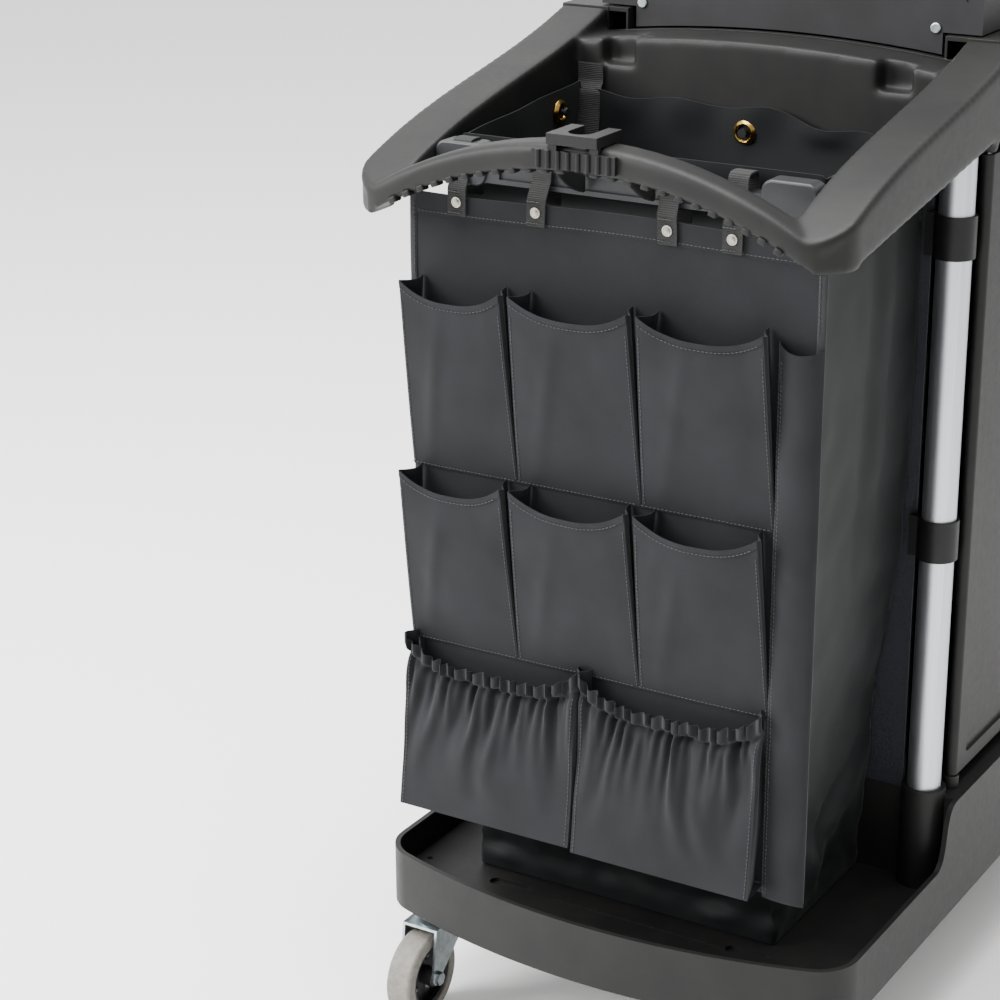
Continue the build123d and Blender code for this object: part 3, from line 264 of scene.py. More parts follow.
def paint(piece, material):
    """Give a piece one material."""
    piece.data.materials.clear()
    piece.data.materials.append(materials[material])


for node_name, node_object in frame["nodes"].items():
    paint(node_object, slot_of[node_name])


# ---------------------------------------------------------------- modelling helpers

def select_only(piece):
    """Make a piece the one selected, active object."""
    bpy.ops.object.select_all(action="DESELECT")
    piece.select_set(True)
    bpy.context.view_layer.objects.active = piece


def apply_modifier(piece, kind, **settings):
    """Add a modifier, set it and apply it."""
    modifier = piece.modifiers.new(kind.lower(), kind)
    for key, value in settings.items():
        setattr(modifier, key, value)
    select_only(piece)
    bpy.ops.object.modifier_apply(modifier=modifier.name)


def join(name, pieces):
    """Join pieces into one object with a plain name, its place in its mesh."""
    bpy.ops.object.select_all(action="DESELECT")
    for piece in pieces:
        piece.select_set(True)
    bpy.context.view_layer.objects.active = pieces[0]
    if len(pieces) > 1:
        bpy.ops.object.join()
    result = bpy.context.object
    result.name = name
    result.data.name = name
    bpy.ops.object.transform_apply(location=True, rotation=True, scale=True)
    return result


def hand_in(piece, material, body, replaced=(), smooth=60):
    """Shade a finished piece, paint it, and say what it rides on and stands for."""
    select_only(piece)
    bpy.ops.object.shade_smooth_by_angle(angle=math.radians(smooth))
    paint(piece, material)
    if replaced:
        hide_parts(*replaced)
    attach(piece, body)
    return piece


def cad_copy(node, whole_faces=True):
    """A merged copy of a CAD node's mesh, with its flat faces made whole where that is wanted."""
    piece = bpy.data.objects.new(node + "_shape", frame["nodes"][node].data.copy())
    bpy.context.scene.collection.objects.link(piece)
    select_only(piece)
    bpy.ops.object.mode_set(mode="EDIT")
    bpy.ops.mesh.select_all(action="SELECT")
    bpy.ops.mesh.remove_doubles(threshold=0.02 * MM)
    if whole_faces:
        bpy.ops.mesh.dissolve_limited(angle_limit=math.radians(0.05))
    bpy.ops.object.mode_set(mode="OBJECT")
    return piece


def round_over(piece, width_mm):
    """Round the moulded edges, those where faces meet at more than 32 degrees."""
    apply_modifier(piece, "BEVEL", width=width_mm * MM, segments=3, limit_method="ANGLE",
                   angle_limit=math.radians(32.0), use_clamp_overlap=True)


def keep_flats(piece):
    """Let the large flat faces set the shading, so that only the rounded edges look round."""
    apply_modifier(piece, "WEIGHTED_NORMAL", keep_sharp=True, weight=100)


def softened(node, width_mm, material=None, whole_faces=True):
    """A CAD node with its edges rounded as a mould or press leaves them."""
    piece = cad_copy(node, whole_faces)
    round_over(piece, width_mm)
    hand_in(piece, material or slot_of[node], body_of[node], (node,), 40)
    keep_flats(piece)
    return piece


def face_outwards(piece):
    """Merge doubled points and turn the faces outwards."""
    select_only(piece)
    bpy.ops.object.mode_set(mode="EDIT")
    bpy.ops.mesh.select_all(action="SELECT")
    bpy.ops.mesh.remove_doubles(threshold=0.01 * MM)
    bpy.ops.mesh.normals_make_consistent(inside=False)
    bpy.ops.object.mode_set(mode="OBJECT")


def cloth_grid(name, columns, rows, place):
    """A sheet of cloth as a grid, whose points go where place(u, v) puts them."""
    bpy.ops.object.select_all(action="DESELECT")
    bpy.ops.mesh.primitive_grid_add(x_subdivisions=columns, y_subdivisions=rows, size=1)
    piece = bpy.context.object
    piece.name = name
    for vertex in piece.data.vertices:
        vertex.co = place(vertex.co.x + 0.5, vertex.co.y + 0.5)
    face_outwards(piece)
    return piece


def thicken(piece, thick_mm):
    """Give a sheet its thickness, half to each side."""
    apply_modifier(piece, "SOLIDIFY", thickness=thick_mm * MM, offset=0.0, use_even_offset=False)


def ease(t, low, high):
    """0 below low, 1 above high, smooth between."""
    t = min(max((t - low) / (high - low), 0.0), 1.0)
    return t * t * (3 - 2 * t)


def rumple(x, z, size_mm, depth_mm, seed=0.0):
    """Smooth irregular hills of cloth, in millimetres."""
    return depth_mm * noise.noise(Vector((x / size_mm, seed, z / size_mm)))


# ---------------------------------------------------------------- stitches

def model_stitch():
    """One stitch of thread: a short rod with rounded ends, lying along X."""
    bpy.ops.object.select_all(action="DESELECT")
    bpy.ops.mesh.primitive_cylinder_add(vertices=6, radius=0.55 * MM, depth=3.2 * MM,
                                        rotation=(0, math.pi / 2, 0))
    stitch = bpy.context.object
    bpy.ops.object.transform_apply(location=True, rotation=True, scale=True)
    apply_modifier(stitch, "BEVEL", width=0.3 * MM, segments=1, limit_method="ANGLE",
                   angle_limit=math.radians(50))
    return stitch


stitch = model_stitch()
seams = []


def sew(points, pitch_mm=4.6):
    """Add a seam of stitches along a line of points."""
    path = bpy.data.curves.new("seam", "CURVE")
    path.dimensions = "3D"
    spline = path.splines.new("POLY")
    spline.points.add(len(points) - 1)
    for point, place in zip(spline.points, points):
        point.co = (*place, 1.0)
    guide = bpy.data.objects.new("seam", path)
    bpy.context.scene.collection.objects.link(guide)
    seam = stitch.copy()
    seam.data = stitch.data.copy()
    bpy.context.scene.collection.objects.link(seam)
    length = sum((b - a).length for a, b in zip(points, points[1:]))
    apply_modifier(seam, "ARRAY", count=int(length / (pitch_mm * MM)), use_relative_offset=False,
                   use_constant_offset=True, constant_offset_displace=(pitch_mm * MM, 0, 0))
    apply_modifier(seam, "CURVE", object=guide)
    bpy.data.objects.remove(guide)
    seams.append(seam)


# ---------------------------------------------------------------- hanging organizer

panel_left, panel_right = -242.0, 228.0
panel_low, panel_high = 262.0, 968.0
panel_width = panel_right - panel_left
panel_height = panel_high - panel_low
hem_z = 948.0                        # stitch line of the top hem
pocket_dividers = (-112.0, 36.0)     # between the three pleated pockets of a row
pocket_right = 186.0
pocket_depth = 33.0                  # how far a pleated pocket stands out at its lip
strap_places = (-184.0, -90.0, 60.0, 131.0)
strap_width = 23.0
snap_z = 961.0


def panel_place(x, z):
    """The organizer's back: it hangs a little rumpled between its straps."""
    slack = 2.0 * math.cos((x + 184) / 62.0) * ease(z, 880, 968)
    return at(x, 1.4 + rumple(x, z, 120, 1.6, 3.0), z - slack)


def organizer_back():
    """Flat cloth back with a folded hem along its top."""
    def back(u, v):
        return panel_place(panel_left + panel_width * u, panel_low + panel_height * v)

    def hem(u, v):
        x = panel_left + 4 + (panel_width - 8) * u
        z = hem_z - 3 + (panel_high - hem_z + 3) * v
        return panel_place(x, z) - Vector((0, 1.3 * MM, 0))

    sheet = cloth_grid("organizer_back", 90, 130, back)
    thicken(sheet, 1.2)
    fold = cloth_grid("organizer_hem", 90, 6, hem)
    thicken(fold, 0.9)
    piece = join("organizer_back", [sheet, fold])
    for x in (panel_left + 4, panel_right - 4):
        sew([panel_place(x, z) - Vector((0, 2.6 * MM, 0)) for z in range(880, 968, 8)])
    sew([panel_place(x, hem_z) - Vector((0, 1.9 * MM, 0)) for x in range(-232, 222, 8)])
    return hand_in(piece, "pocket_cloth", cart, ("organizer_panel",))


def edge_binding(side):
    """Woven tape folded round a side of the organizer, with a rolled bead along each edge."""
    edge = panel_left if side < 0 else panel_right

    def tape(u, v):
        turn = 2 * math.pi * u
        bead = 1.0 + 0.5 * abs(math.cos(turn)) ** 3
        x = edge - side * 2.0 + 4.6 * math.cos(turn)
        z = panel_low + panel_height * v
        return panel_place(x, z) + Vector((0, 2.2 * MM * math.sin(turn) * bead, 0))

    piece = cloth_grid("edge_binding_" + ("left" if side < 0 else "right"), 16, 90, tape)
    select_only(piece)
    bpy.ops.object.mode_set(mode="EDIT")
    bpy.ops.mesh.select_all(action="SELECT")
    bpy.ops.mesh.fill_holes(sides=40)
    bpy.ops.mesh.normals_make_consistent(inside=False)
    bpy.ops.object.mode_set(mode="OBJECT")
    return hand_in(piece, "binding", cart)


def pleated_pocket(name, left, right, low, corner_z, lip_z, depth, seed):
    """A flat front with a pressed edge at each side, and gussets folded back to the panel."""
    gusset = 0.13    # share of the strip that each gusset takes
    height = corner_z - low

    def place(u, v, lift=0.0):
        deep = 1.8 + (depth - 1.8) * v ** 0.9
        inner_left, inner_right = left + 5 * v, right - 5 * v
        tuck = 9.0 * v
        s = (u - gusset) / (1 - 2 * gusset)
        if s < 0 or s > 1:
            t = u / gusset if s < 0 else (1 - u) / gusset
            sway = 2.6 * v * math.sin(2 * math.pi * t)
            edge = inner_left if s < 0 else inner_right
            inward = 1 if s < 0 else -1
            x = edge + inward * (tuck * (1 - t) + sway)
            y = -1.6 - (deep - 1.6) * t
            top = corner_z - 3.0 * math.sin(math.pi * t)
        else:
            x = inner_left + (inner_right - inner_left) * s
            bow = 5.0 * math.sin(math.pi * s) * v * (1 - 0.5 * v)
            sag = 1 - abs(2 * s - 1) ** 2.6
            y = -deep - bow + 4.0 * sag * ease(v, 0.7, 1.0)
            top = corner_z - (corner_z - lip_z) * sag
        z = low + (top - low) * v
        inside = min(max(min(s, 1 - s) * 6, 0.0), 1.0)
        hills = rumple(x, z, 75, 3.2, seed) + rumple(x, z, 26, 0.9, seed + 5)
        y += inside * hills * (0.35 + 0.65 * v)
        pull = inside * math.exp(-((s - 0.15 - 0.25 * v) / 0.07) ** 2) * 2.0 * math.sin(math.pi * v)
        return at(x, y - pull - lift, z)

    sheet = cloth_grid(name, 84, 60, place)
    thicken(sheet, 1.1)
    band = cloth_grid(name + "_hem", 84, 3, lambda u, v: place(u, 1 + (8.6 * v - 8) / height, 0.9))
    thicken(band, 0.8)
    count = 40
    across = [gusset + (1 - 2 * gusset) * i / count for i in range(count + 1)]
    sew([place(u, 1 - 7 / height, 1.7) for u in across[1:-1]])
    for u in (gusset + 0.012, 1 - gusset - 0.012):
        sew([place(u, i / count, 0.9) for i in range(1, count - 2)])
    sew([place(u, 0.012, 0.9) for u in across])
    return [sheet, band]


def pocket_row(name, node, low, corner_z, lip_z, spread, seed):
    """Three pleated pockets side by side; spread is how far the first one stands out past the
    panel's left edge."""
    edges = (panel_left - spread, *pocket_dividers, pocket_right)
    parts = []
    for i, (left, right) in enumerate(zip(edges, edges[1:])):
        parts += pleated_pocket(f"{name}_{i + 1}", left + 0.5, right - 0.5, low, corner_z, lip_z,
                                pocket_depth, seed + 7 * i)
    piece = join(name, parts)
    return hand_in(piece, "pocket_cloth", cart, (node,))


def elastic_pocket(name, left, right, low, seed):
    """A full pocket gathered on elastic: a ruffled heading, folds that fan out below it, and a
    crisp fold along the bottom."""
    gusset, turn, elastic = 0.11, 0.07, 0.888    # shares taken up by each gusset, the bottom
    pleats = (right - left) / 11.0               # turn, and the height up to the elastic

    def place(u, v):
        s = min(max((u - gusset) / (1 - 2 * gusset), 0.0), 1.0)
        w = max(v - turn, 0.0) / (1 - turn)
        top = 446 + 26 * abs(2 * s - 1) ** 4
        wander = noise.noise(Vector((s * 9, seed, 0))) * 3.0
        ruffle = math.sin(2 * math.pi * pleats * s + wander)
        scallop = math.sin(2 * math.pi * pleats * 0.57 * s + 1.3 + wander * 1.4)
        heading = ease(w, elastic, elastic + 0.05)
        pinch = math.exp(-((w - elastic) / 0.028) ** 2)
        fan = ease(w, 0.10, elastic) * (1 - heading)
        lean = 0.5 + (s - 0.5) * (1.0 - 0.25 * (1 - w))
        drift = noise.noise(Vector((lean * 4, seed + 2, w * 1.5)))
        fold = math.sin(2 * math.pi * 5.5 * lean + 5.0 * drift)
        strength = 0.55 + 0.9 * noise.noise(Vector((lean * 5, seed + 7, 0.3)))
        fine = math.sin(2 * math.pi * 15 * lean + 5 * drift)
        body = math.sin(math.pi * min(w / elastic, 1.0))
        deep = 16 + 22 * (1 - min(w / elastic, 1.0)) ** 1.1 + 9 * body * math.sin(math.pi * s)
        deep += 5.5 * fold * strength * fan ** 0.7 + 2.4 * fine * fan ** 2.5
        deep += (3.4 * ruffle + 1.8 * scallop) * (0.5 * fan ** 8 + heading)
        deep += 5.5 * heading - 4.0 * pinch
        deep *= ease(v, 0.0, turn) if v < turn else 1.0
        z = low + (top + 2.4 * scallop * heading - low) * w + 3 * (1 - ease(v, 0.0, turn))
        if u < gusset or u > 1 - gusset:
            t = u / gusset if u < gusset else (1 - u) / gusset
            edge, inward = (left, 1) if u < gusset else (right, -1)
            flare = 1 - ease(w, 0.0, 0.5)
            sway = 2.5 * math.sin(2 * math.pi * t) * w
            x = edge + inward * (10 * (1 - t) * (0.4 + 0.6 * flare) + sway)
            return at(x, -1.6 - max(deep - 1.6, 0.2) * t, z)
        x = left + (right - left) * s + 1.8 * scallop * heading
        y = -max(deep, 2.0) + rumple(x, z, 34, 3.0, seed) * math.sin(math.pi * s) * body
        return at(x, y, z)

    sheet = cloth_grid(name, 200, 96, place)
    thicken(sheet, 1.0)
    for u in (gusset + 0.012, 1 - gusset - 0.012):
        sew([place(u, turn + 0.02 + 0.82 * i / 30) - Vector((0, 0.9 * MM, 0)) for i in range(31)])
    return sheet


def elastic_row():
    """Two gathered pockets below the pleated ones."""
    parts = [elastic_pocket("elastic_pocket_1", left=-246.0, right=-31.0, low=274.0, seed=1.0),
             elastic_pocket("elastic_pocket_2", left=-27.0, right=184.0, low=270.0, seed=9.0)]
    piece = join("elastic_pockets", parts)
    return hand_in(piece, "pocket_cloth", cart, ("organizer_lower_pockets",))


def long_pocket():
    """Narrow full-length pocket down the right edge, with a slack mouth and a rolled outer side."""
    left, right, low, high = 184.0, 231.0, 258.0, 866.0

    def place(u, v, lift=0.0):
        across = math.sin(math.pi * u) ** 0.55
        deep = 2.0 + (10.5 + 2.5 * v) * across + 3.0 * ease(v, 0.9, 1.0) * across
        z = low + (high - low - 5.0 * math.sin(math.pi * u) - 4 * u) * v
        x = left + (right - left) * u
        deep += (rumple(x, z, 60, 4.0, 20.0) + rumple(x, z, 24, 1.3, 23.0)) * across
        deep *= ease(v, -0.01, 0.02)
        return at(x, 0.6 - deep - lift, z)

    sheet = cloth_grid("long_pocket", 22, 130, place)
    thicken(sheet, 1.1)
    band = cloth_grid("long_pocket_hem", 22, 3, lambda u, v: place(u, 0.988 + 0.0125 * v, 0.9))
    thicken(band, 0.8)
    for u in (0.06, 0.14):
        sew([place(u, i / 60, 0.9) for i in range(1, 60)])
    piece = join("long_pocket", [sheet, band])
    return hand_in(piece, "pocket_cloth", cart, ("organizer_long_pocket",))


# ---------------------------------------------------------------- straps and snaps

def hanging_strap(name, x, seed):
    """Webbing loop over the organizer's bar, lapped and snapped on the front."""
    path = [(-3.2, 946), (-3.4, 952), (-3.2, 975), (1.5, 985), (5.4, 992), (6.4, 1003), (9, 1007.4),
            (17, 1008.2), (25, 1007.2), (27.6, 1003), (27.8, 985), (27.4, 962)]
    if abs(x) > 120:    # over the bar's deeper ends
        path = [(y if y < 2 else 1.12 * y - 1, z + 16 * ease(z, 986, 1003)) for y, z in path]

    def place(u, v):
        spot = v * (len(path) - 1)
        i = min(int(spot), len(path) - 2)
        t = spot - i
        y = path[i][0] + (path[i + 1][0] - path[i][0]) * t
        z = path[i][1] + (path[i + 1][1] - path[i][1]) * t
        lean = 2.5 * math.sin(seed) * ease(z, 950, 1000)
        edge = strap_width / 2 * (2 * u - 1)
        curl = 0.5 * (2 * u - 1) ** 2
        return at(x + edge + lean, y - curl * (1 if v < 0.5 else -1), z)

    strap = cloth_grid(name, 8, 66, place)
    apply_modifier(strap, "SMOOTH", factor=0.5, iterations=3)
    thicken(strap, 1.7)
    for z in (950, 972):
        sew([at(x + dx, -4.6, z) for dx in range(-9, 10, 3)], 3.8)
    return strap


def straps():
    """The organizer's four hanging loops."""
    parts = [hanging_strap(f"strap_{i}", x, i * 2.1) for i, x in enumerate(strap_places)]
    piece = join("hanging_straps", parts)
    return hand_in(piece, "webbing", cart, ("organizer_straps",))


def snap_caps():
    """Nickel snap caps: a domed button with a rolled rim on each strap."""
    steps = ((0.0, 1.0), (0.5, 0.3), (0.9, -0.7), (0.4, 0.9), (0.8, 0.8), (1.0, 0.5), (1.0, 0.2))
    caps = []
    for x in strap_places:
        bpy.ops.object.select_all(action="DESELECT")
        bpy.ops.mesh.primitive_circle_add(vertices=40, radius=5.6 * MM, fill_type="NGON",
                                          location=at(x, -4.4, snap_z),
                                          rotation=(math.pi / 2, 0, 0))
        cap = bpy.context.object
        bpy.ops.object.mode_set(mode="EDIT")
        for inset, rise in steps:
            if inset:
                bpy.ops.mesh.inset(thickness=inset * MM)
            bpy.ops.mesh.extrude_region_move(TRANSFORM_OT_translate={"value": (0, -rise * MM, 0)})
        bpy.ops.object.mode_set(mode="OBJECT")
        caps.append(cap)
    piece = join("snap_caps", caps)
    face_outwards(piece)
    return hand_in(piece, "nickel", cart, ("snap_studs",), 35)


# ---------------------------------------------------------------- waste bag

bag_half, bag_near, bag_far = 208.0, 6.0, 290.0    # sides, front and back of the mouth
bag_bottom, bag_mouth = 161.5, 1024.0


def bag_place(u, v):
    """The hanging bag: u runs round it from the back left corner, v from the deck to the mouth.
    Its bumps and creases are added along (nx, ny), which points out of the side they are on."""
    z = bag_bottom + (bag_mouth - bag_bottom) * v
    base = 1 - ease(z, 160, 760)
    left = -bag_half + 3 * base
    right = bag_half - 40 * base * (0.6 + 0.4 * base)
    near = bag_near + 62 * (1 - ease(z, 160, 700)) + 36 * ease(z, 930, 968)
    width, depth = right - left, bag_far - near
    walk = (u % 1.0) * 2 * (width + depth)
    if walk < depth:
        x, y, nx, ny = left, bag_far - walk, -1, 0
    elif walk < depth + width:
        x, y, nx, ny = left + walk - depth, near, 0, -1
    elif walk < 2 * depth + width:
        x, y, nx, ny = right, near + walk - depth - width, 1, 0
    else:
        x, y, nx, ny = right - (walk - 2 * depth - width), bag_far, 0, 1
    free = ease(z, 160, 210) * (1 - ease(z, 930, 985))
    along = min(max((y - near) / depth, 0), 1) if nx else (x - left) / width
    out = -3.5 * free * math.sin(math.pi * along) * math.sin(math.pi * v)
    if nx:
        back = (y - near) / depth
        out += 3.4 * free * math.exp(-((back - 0.62 - 0.10 * v) / 0.05) ** 2) * ease(z, 500, 800)
        out -= 4.0 * free * math.exp(-((back - 0.50 - 0.12 * v) / 0.06) ** 2) * ease(z, 420, 700)
        crease = abs(back - 0.45) * 210 + 190
        out += 7.0 * math.exp(-((z - crease - 20) / 26) ** 2) * (1 - ease(z, 250, 380))
        out -= 5.0 * math.exp(-((z - crease - 62) / 24) ** 2) * (1 - ease(z, 270, 400))
    out += (rumple(x + y, z, 110, 5.0, 30.0) + rumple(x + y, z, 42, 2.6, 33.0)) * free * (1.4 - v)
    lump = 0.5 + noise.noise(Vector((walk / 55, 5.0, 0.0))) * 1.4
    out += 4.0 * lump * math.exp(-((z - 176) / 9) ** 2)
    out -= 3.6 * lump * math.exp(-((z - 195) / 7) ** 2)
    crumple = rumple(walk, z, 34, 4.0, 50.0) + rumple(walk + z, z, 16, 1.6, 52.0)
    out += crumple * ease(z, 165, 185) * (1 - ease(z, 230, 330))
    out = min(out, 1.0) if ny > 0 else out
    mouth = ease(z, 985, 1020)
    if ny > 0:
        z += mouth * (4 - 16 * ease(x, 20, 120) + 3 * math.sin(x / 17.0))
        out -= mouth * 2.5 * (1 + math.sin(x / 13.0 + 0.6))
    elif nx:
        z += mouth * (-4 + 18 * (y - near) / depth)
        out -= mouth * 1.5 * (1 + math.sin(y / 19.0))
    return at(x + nx * out, y + ny * out, z)


def waste_bag():
    """Open cloth bag: a lofted shell that sags, with crumpled lower corners and a sewn base."""
    sheet = cloth_grid("waste_bag_body", 290, 150, bag_place)
    select_only(sheet)
    bpy.ops.object.mode_set(mode="EDIT")
    bpy.ops.mesh.select_all(action="SELECT")
    bpy.ops.mesh.remove_doubles(threshold=0.02 * MM)
    bpy.ops.mesh.select_all(action="DESELECT")
    bpy.ops.object.mode_set(mode="OBJECT")
    base_z = (bag_bottom + 2.5) * MM
    for edge in sheet.data.edges:
        edge.select = all(sheet.data.vertices[i].co.z < base_z for i in edge.vertices)
    bpy.ops.object.mode_set(mode="EDIT")
    bpy.ops.mesh.select_mode(type="EDGE")
    bpy.ops.mesh.edge_face_add()
    bpy.ops.mesh.select_mode(type="VERT")
    bpy.ops.mesh.select_all(action="SELECT")
    bpy.ops.mesh.normals_make_consistent(inside=False)
    bpy.ops.object.mode_set(mode="OBJECT")
    apply_modifier(sheet, "SMOOTH", factor=0.5, iterations=2)
    thicken(sheet, 1.6)
    return hand_in(sheet, "bag_cloth", cart, ("waste_bag",))


def grommets():
    """Rolled brass rings: a flat flange with a raised bead round the hole."""
    rings = []
    low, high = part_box("bag_grommets")
    side_y = organizer_low.y + 245 * MM
    back_z, side_z = 1000 * MM, 1010 * MM
    centres = (((0, high.y - MM, back_z), (math.pi / 2, 0, 0)),
               ((low.x + MM, side_y, side_z), (math.pi / 2, 0, math.pi / 2)),
               ((high.x - MM, side_y, side_z), (math.pi / 2, 0, -math.pi / 2)))
    for place, turn in centres:
        bpy.ops.object.select_all(action="DESELECT")
        bpy.ops.mesh.primitive_torus_add(major_segments=48, minor_segments=14,
                                         major_radius=10.6 * MM, minor_radius=2.9 * MM,
                                         location=place, rotation=turn)
        ring = bpy.context.object
        for vertex in ring.data.vertices:
            radius = math.hypot(vertex.co.x, vertex.co.y)
            flat = ease(radius, 9.6 * MM, 13.4 * MM)
            vertex.co.z *= 1.25 - 0.8 * flat
        rings.append(ring)
    piece = join("rolled_grommets", rings)
    return hand_in(piece, "brass_ring", cart, ("bag_grommets",), 60)


def tie_strap():
    """Wide webbing that holds the bag's back corner to the wall, folded over the bag's edge."""
    x, width, low, length = -196.0, 31, 965, 92

    def place(u, v):
        z = low + length * v
        y = 288.5 - 1.2 * math.sin(math.pi * u)
        y += 7.5 * ease(z, 1024, 1040) - 2.0 * (1 - ease(z, 965, 1010))
        return at(x + width * (u - 0.5) + 1.5 * math.sin(v * 3), y, z)

    piece = cloth_grid("corner_tie_strap", 10, 40, place)
    thicken(piece, 1.8)
    return hand_in(piece, "webbing", cart, ("bag_strap",))


# ---------------------------------------------------------------- hard parts

def nose_filling(side):
    """Solid rounded corner under the nose on one side of the frame."""
    inner_x, inner_y, middle_z = 244, -24, 969
    bpy.ops.object.select_all(action="DESELECT")
    bpy.ops.mesh.primitive_cylinder_add(vertices=64, radius=48.5 * MM, depth=31 * MM,
                                        location=at(side * 226, -26, middle_z))
    filling = bpy.context.object
    bpy.ops.object.transform_apply(location=True, rotation=True, scale=True)
    for point, normal in ((at(side * inner_x, 0, middle_z), (side, 0, 0)),
                          (at(0, inner_y, middle_z), (0, -1, 0))):
        bpy.ops.object.mode_set(mode="EDIT")
        bpy.ops.mesh.select_all(action="SELECT")
        bpy.ops.mesh.bisect(plane_co=point, plane_no=normal, use_fill=True, clear_inner=True)
        bpy.ops.object.mode_set(mode="OBJECT")
    return filling


def top_moulding():
    """The top frame in two pieces that meet just before the hood: the front with the generous
    radii of a thick moulding, the rear with plainly rounded edges."""
    joint_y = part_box("hood")[0].y - 9 * MM
    low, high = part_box("top_frame")
    shapes = []
    for name, front in (("frame_front", True), ("frame_rear", False)):
        piece = cad_copy("top_frame")
        piece.name = name
        bpy.ops.object.select_all(action="DESELECT")
        bpy.ops.mesh.primitive_cube_add(size=1)
        block = bpy.context.object
        near, far = (low.y - 0.05, joint_y) if front else (joint_y, high.y + 0.05)
        block.scale = (1.0, far - near, 0.6)
        block.location = (0, (near + far) / 2, high.z - 0.1)
        bpy.ops.object.transform_apply(location=True, rotation=True, scale=True)
        apply_modifier(piece, "BOOLEAN", operation="INTERSECT", solver="EXACT", object=block)
        bpy.data.objects.remove(block)
        shapes.append(piece)
    front, rear = shapes
    front = join("frame_front", [front, nose_filling(1), nose_filling(-1)])
    apply_modifier(front, "REMESH", mode="VOXEL", voxel_size=2.7 * MM)
    apply_modifier(front, "SMOOTH", factor=0.5, iterations=16)
    most_faces = 95000
    if len(front.data.polygons) > most_faces:
        apply_modifier(front, "DECIMATE", ratio=most_faces / len(front.data.polygons))
    round_over(rear, 2.5)
    hand_in(front, "black_moulding", cart, ("top_frame",), 60)
    hand_in(rear, "black_moulding", cart, ("top_frame",), 40)
    keep_flats(rear)


def handle_ribs():
    """Ends of the stiffening ribs that show along the handle's lower edge."""
    half_span, rise, crown_z, pitch = 250.0, 72.0, 1026.5, 18.5
    radius = (half_span ** 2 + rise ** 2) / (2 * rise)
    ribs = []
    for i in (*range(-12, 0), *range(1, 13)):
        angle = i * pitch / radius
        x = radius * math.sin(angle)
        z = crown_z + 0.1 - radius * (1 - math.cos(angle))
        bpy.ops.object.select_all(action="DESELECT")
        bpy.ops.mesh.primitive_cube_add(size=1, location=at(x, -74, z), rotation=(0, angle, 0))
        rib = bpy.context.object
        rib.scale = (9.0 * MM, 12 * MM, 6.5 * MM)
        bpy.ops.object.transform_apply(location=False, rotation=False, scale=True)
        apply_modifier(rib, "BEVEL", width=1.4 * MM, segments=2)
        ribs.append(rib)
    piece = join("handle_rib_ends", ribs)
    return hand_in(piece, "black_moulding", cart)


top_moulding()
handle_ribs()
softened("base_platform", 2.5)
softened("hood", 3.0, "hood_moulding", whole_faces=False)
softened("organizer_bar", 1.5, "bar_moulding")
for door in ("front_door", "rear_door"):
    softened(door, 1.5)
for small in ("tool_grip", "post_clips"):
    softened(small, 1.0)
for side in ("left", "right"):
    softened(side + "_caster_fork", 1.0)

back_panel = organizer_back()
bindings = [edge_binding(side) for side in (-1, 1)]
pocket_row("upper_pockets", "organizer_top_pockets", low=667.0, corner_z=878.0, lip_z=859.0,
           spread=1.0, seed=0.0)
pocket_row("middle_pockets", "organizer_middle_pockets", low=464.0, corner_z=668.0, lip_z=648.0,
           spread=6.0, seed=40.0)
elastic_row()
long_pocket()
straps()
snap_caps()
waste_bag()
grommets()
tie_strap()
seam_stitches = join("seam_stitches", seams)
hand_in(seam_stitches, "thread", cart, smooth=50)
bpy.data.objects.remove(stitch)


# ---------------------------------------------------------------- scene

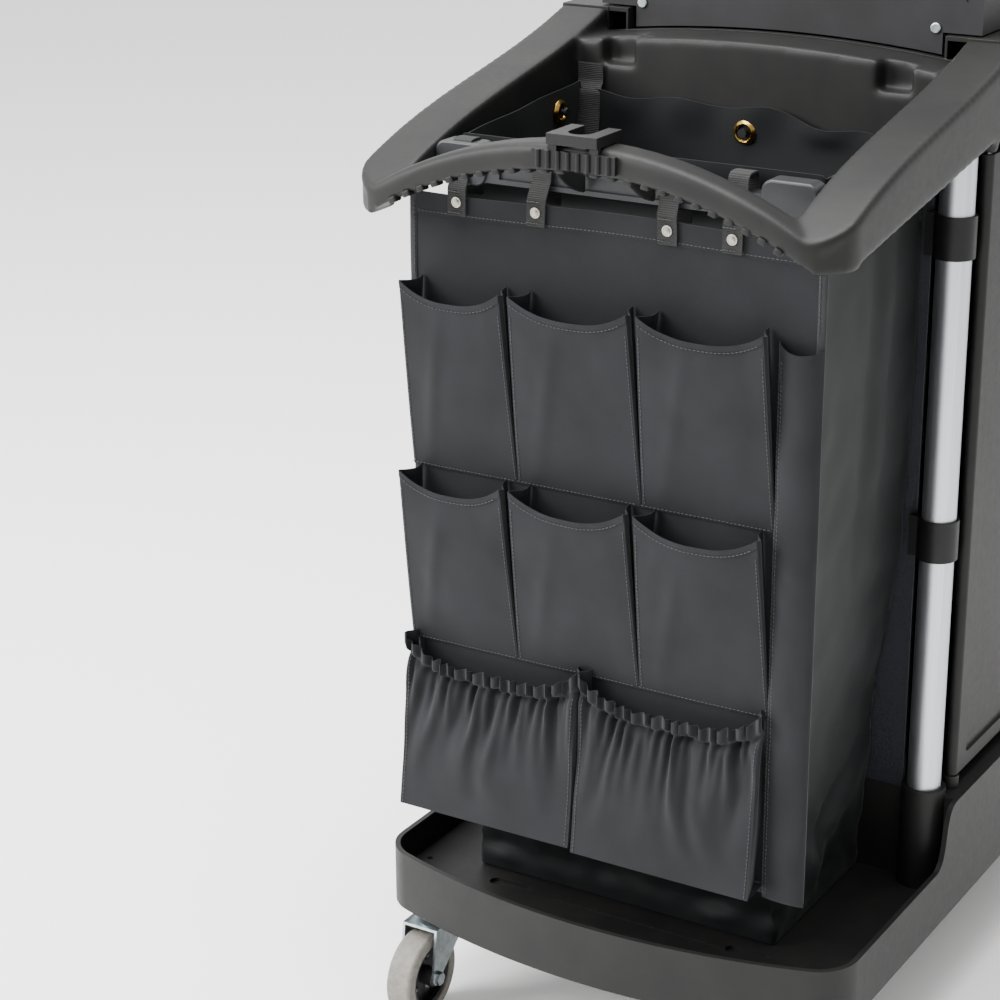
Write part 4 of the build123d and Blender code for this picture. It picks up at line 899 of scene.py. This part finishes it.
def camera():
    """Camera off the bag end's right corner, looking slightly down."""
    azimuth, elevation, roll = (math.radians(a) for a in (31.396, 19.961, -0.333))
    right = Vector((math.cos(azimuth), math.sin(azimuth), 0))
    back = Vector((math.sin(azimuth) * math.cos(elevation),
                   -math.cos(azimuth) * math.cos(elevation), math.sin(elevation)))
    up = back.cross(right)
    level, tilt = math.cos(roll), math.sin(roll)
    axes = (right * level + up * tilt, up * level - right * tilt, back)
    data = bpy.data.cameras.new("camera")
    data.lens = 90.85    # millimetres, on a 36 mm sensor
    data.sensor_width = 36
    data.clip_end = 50
    eye = bpy.data.objects.new("camera", data)
    bpy.context.scene.collection.objects.link(eye)
    turn = Matrix([[axis[i] for axis in axes] for i in range(3)]).to_4x4()
    eye.matrix_world = Matrix.Translation(at(1176.3, -2150.9, 1558.1)) @ turn
    bpy.context.scene.camera = eye


def soft_box(name, place, target, size, watts):
    """A square soft box that points at a target."""
    data = bpy.data.lights.new(name, "AREA")
    data.size = size
    data.energy = watts
    lamp = bpy.data.objects.new(name, data)
    bpy.context.scene.collection.objects.link(lamp)
    lamp.location = place
    lamp.rotation_euler = (Vector(target) - Vector(place)).to_track_quat("-Z", "Y").to_euler()


def studio():
    """Pale floor, white surroundings that fall off to the right, and soft boxes."""
    bpy.ops.object.select_all(action="DESELECT")
    bpy.ops.mesh.primitive_plane_add(size=60)
    floor = bpy.context.object
    floor.name = "studio_floor"
    material, _, shader, _ = new_material("matt_white_floor")
    shader.inputs["Base Color"].default_value = colour("f4f4f3")
    shader.inputs["Roughness"].default_value = 0.9
    floor.data.materials.append(material)
    world = bpy.data.worlds.new("studio")
    world.use_nodes = True
    tree = world.node_tree
    direction = add_node(tree, "ShaderNodeTexCoord").outputs["Generated"]
    sideways = add_node(tree, "ShaderNodeSeparateXYZ", links={"Vector": direction}).outputs["X"]
    falling = add_node(tree, "ShaderNodeMapRange", {"From Min": -1.0, "To Min": 2.3, "To Max": 0.8},
                       {"Value": sideways}).outputs["Result"]
    tree.nodes["Background"].inputs["Color"].default_value = (1, 1, 1, 1)
    tree.links.new(falling, tree.nodes["Background"].inputs["Strength"])
    bpy.context.scene.world = world
    middle = (0, -0.3, 0.7)
    soft_box("key_box", (-3.2, -3.4, 3.0), middle, 2.4, 420)
    soft_box("top_box", (-0.4, -0.6, 4.2), middle, 3.0, 380)


camera()
studio()
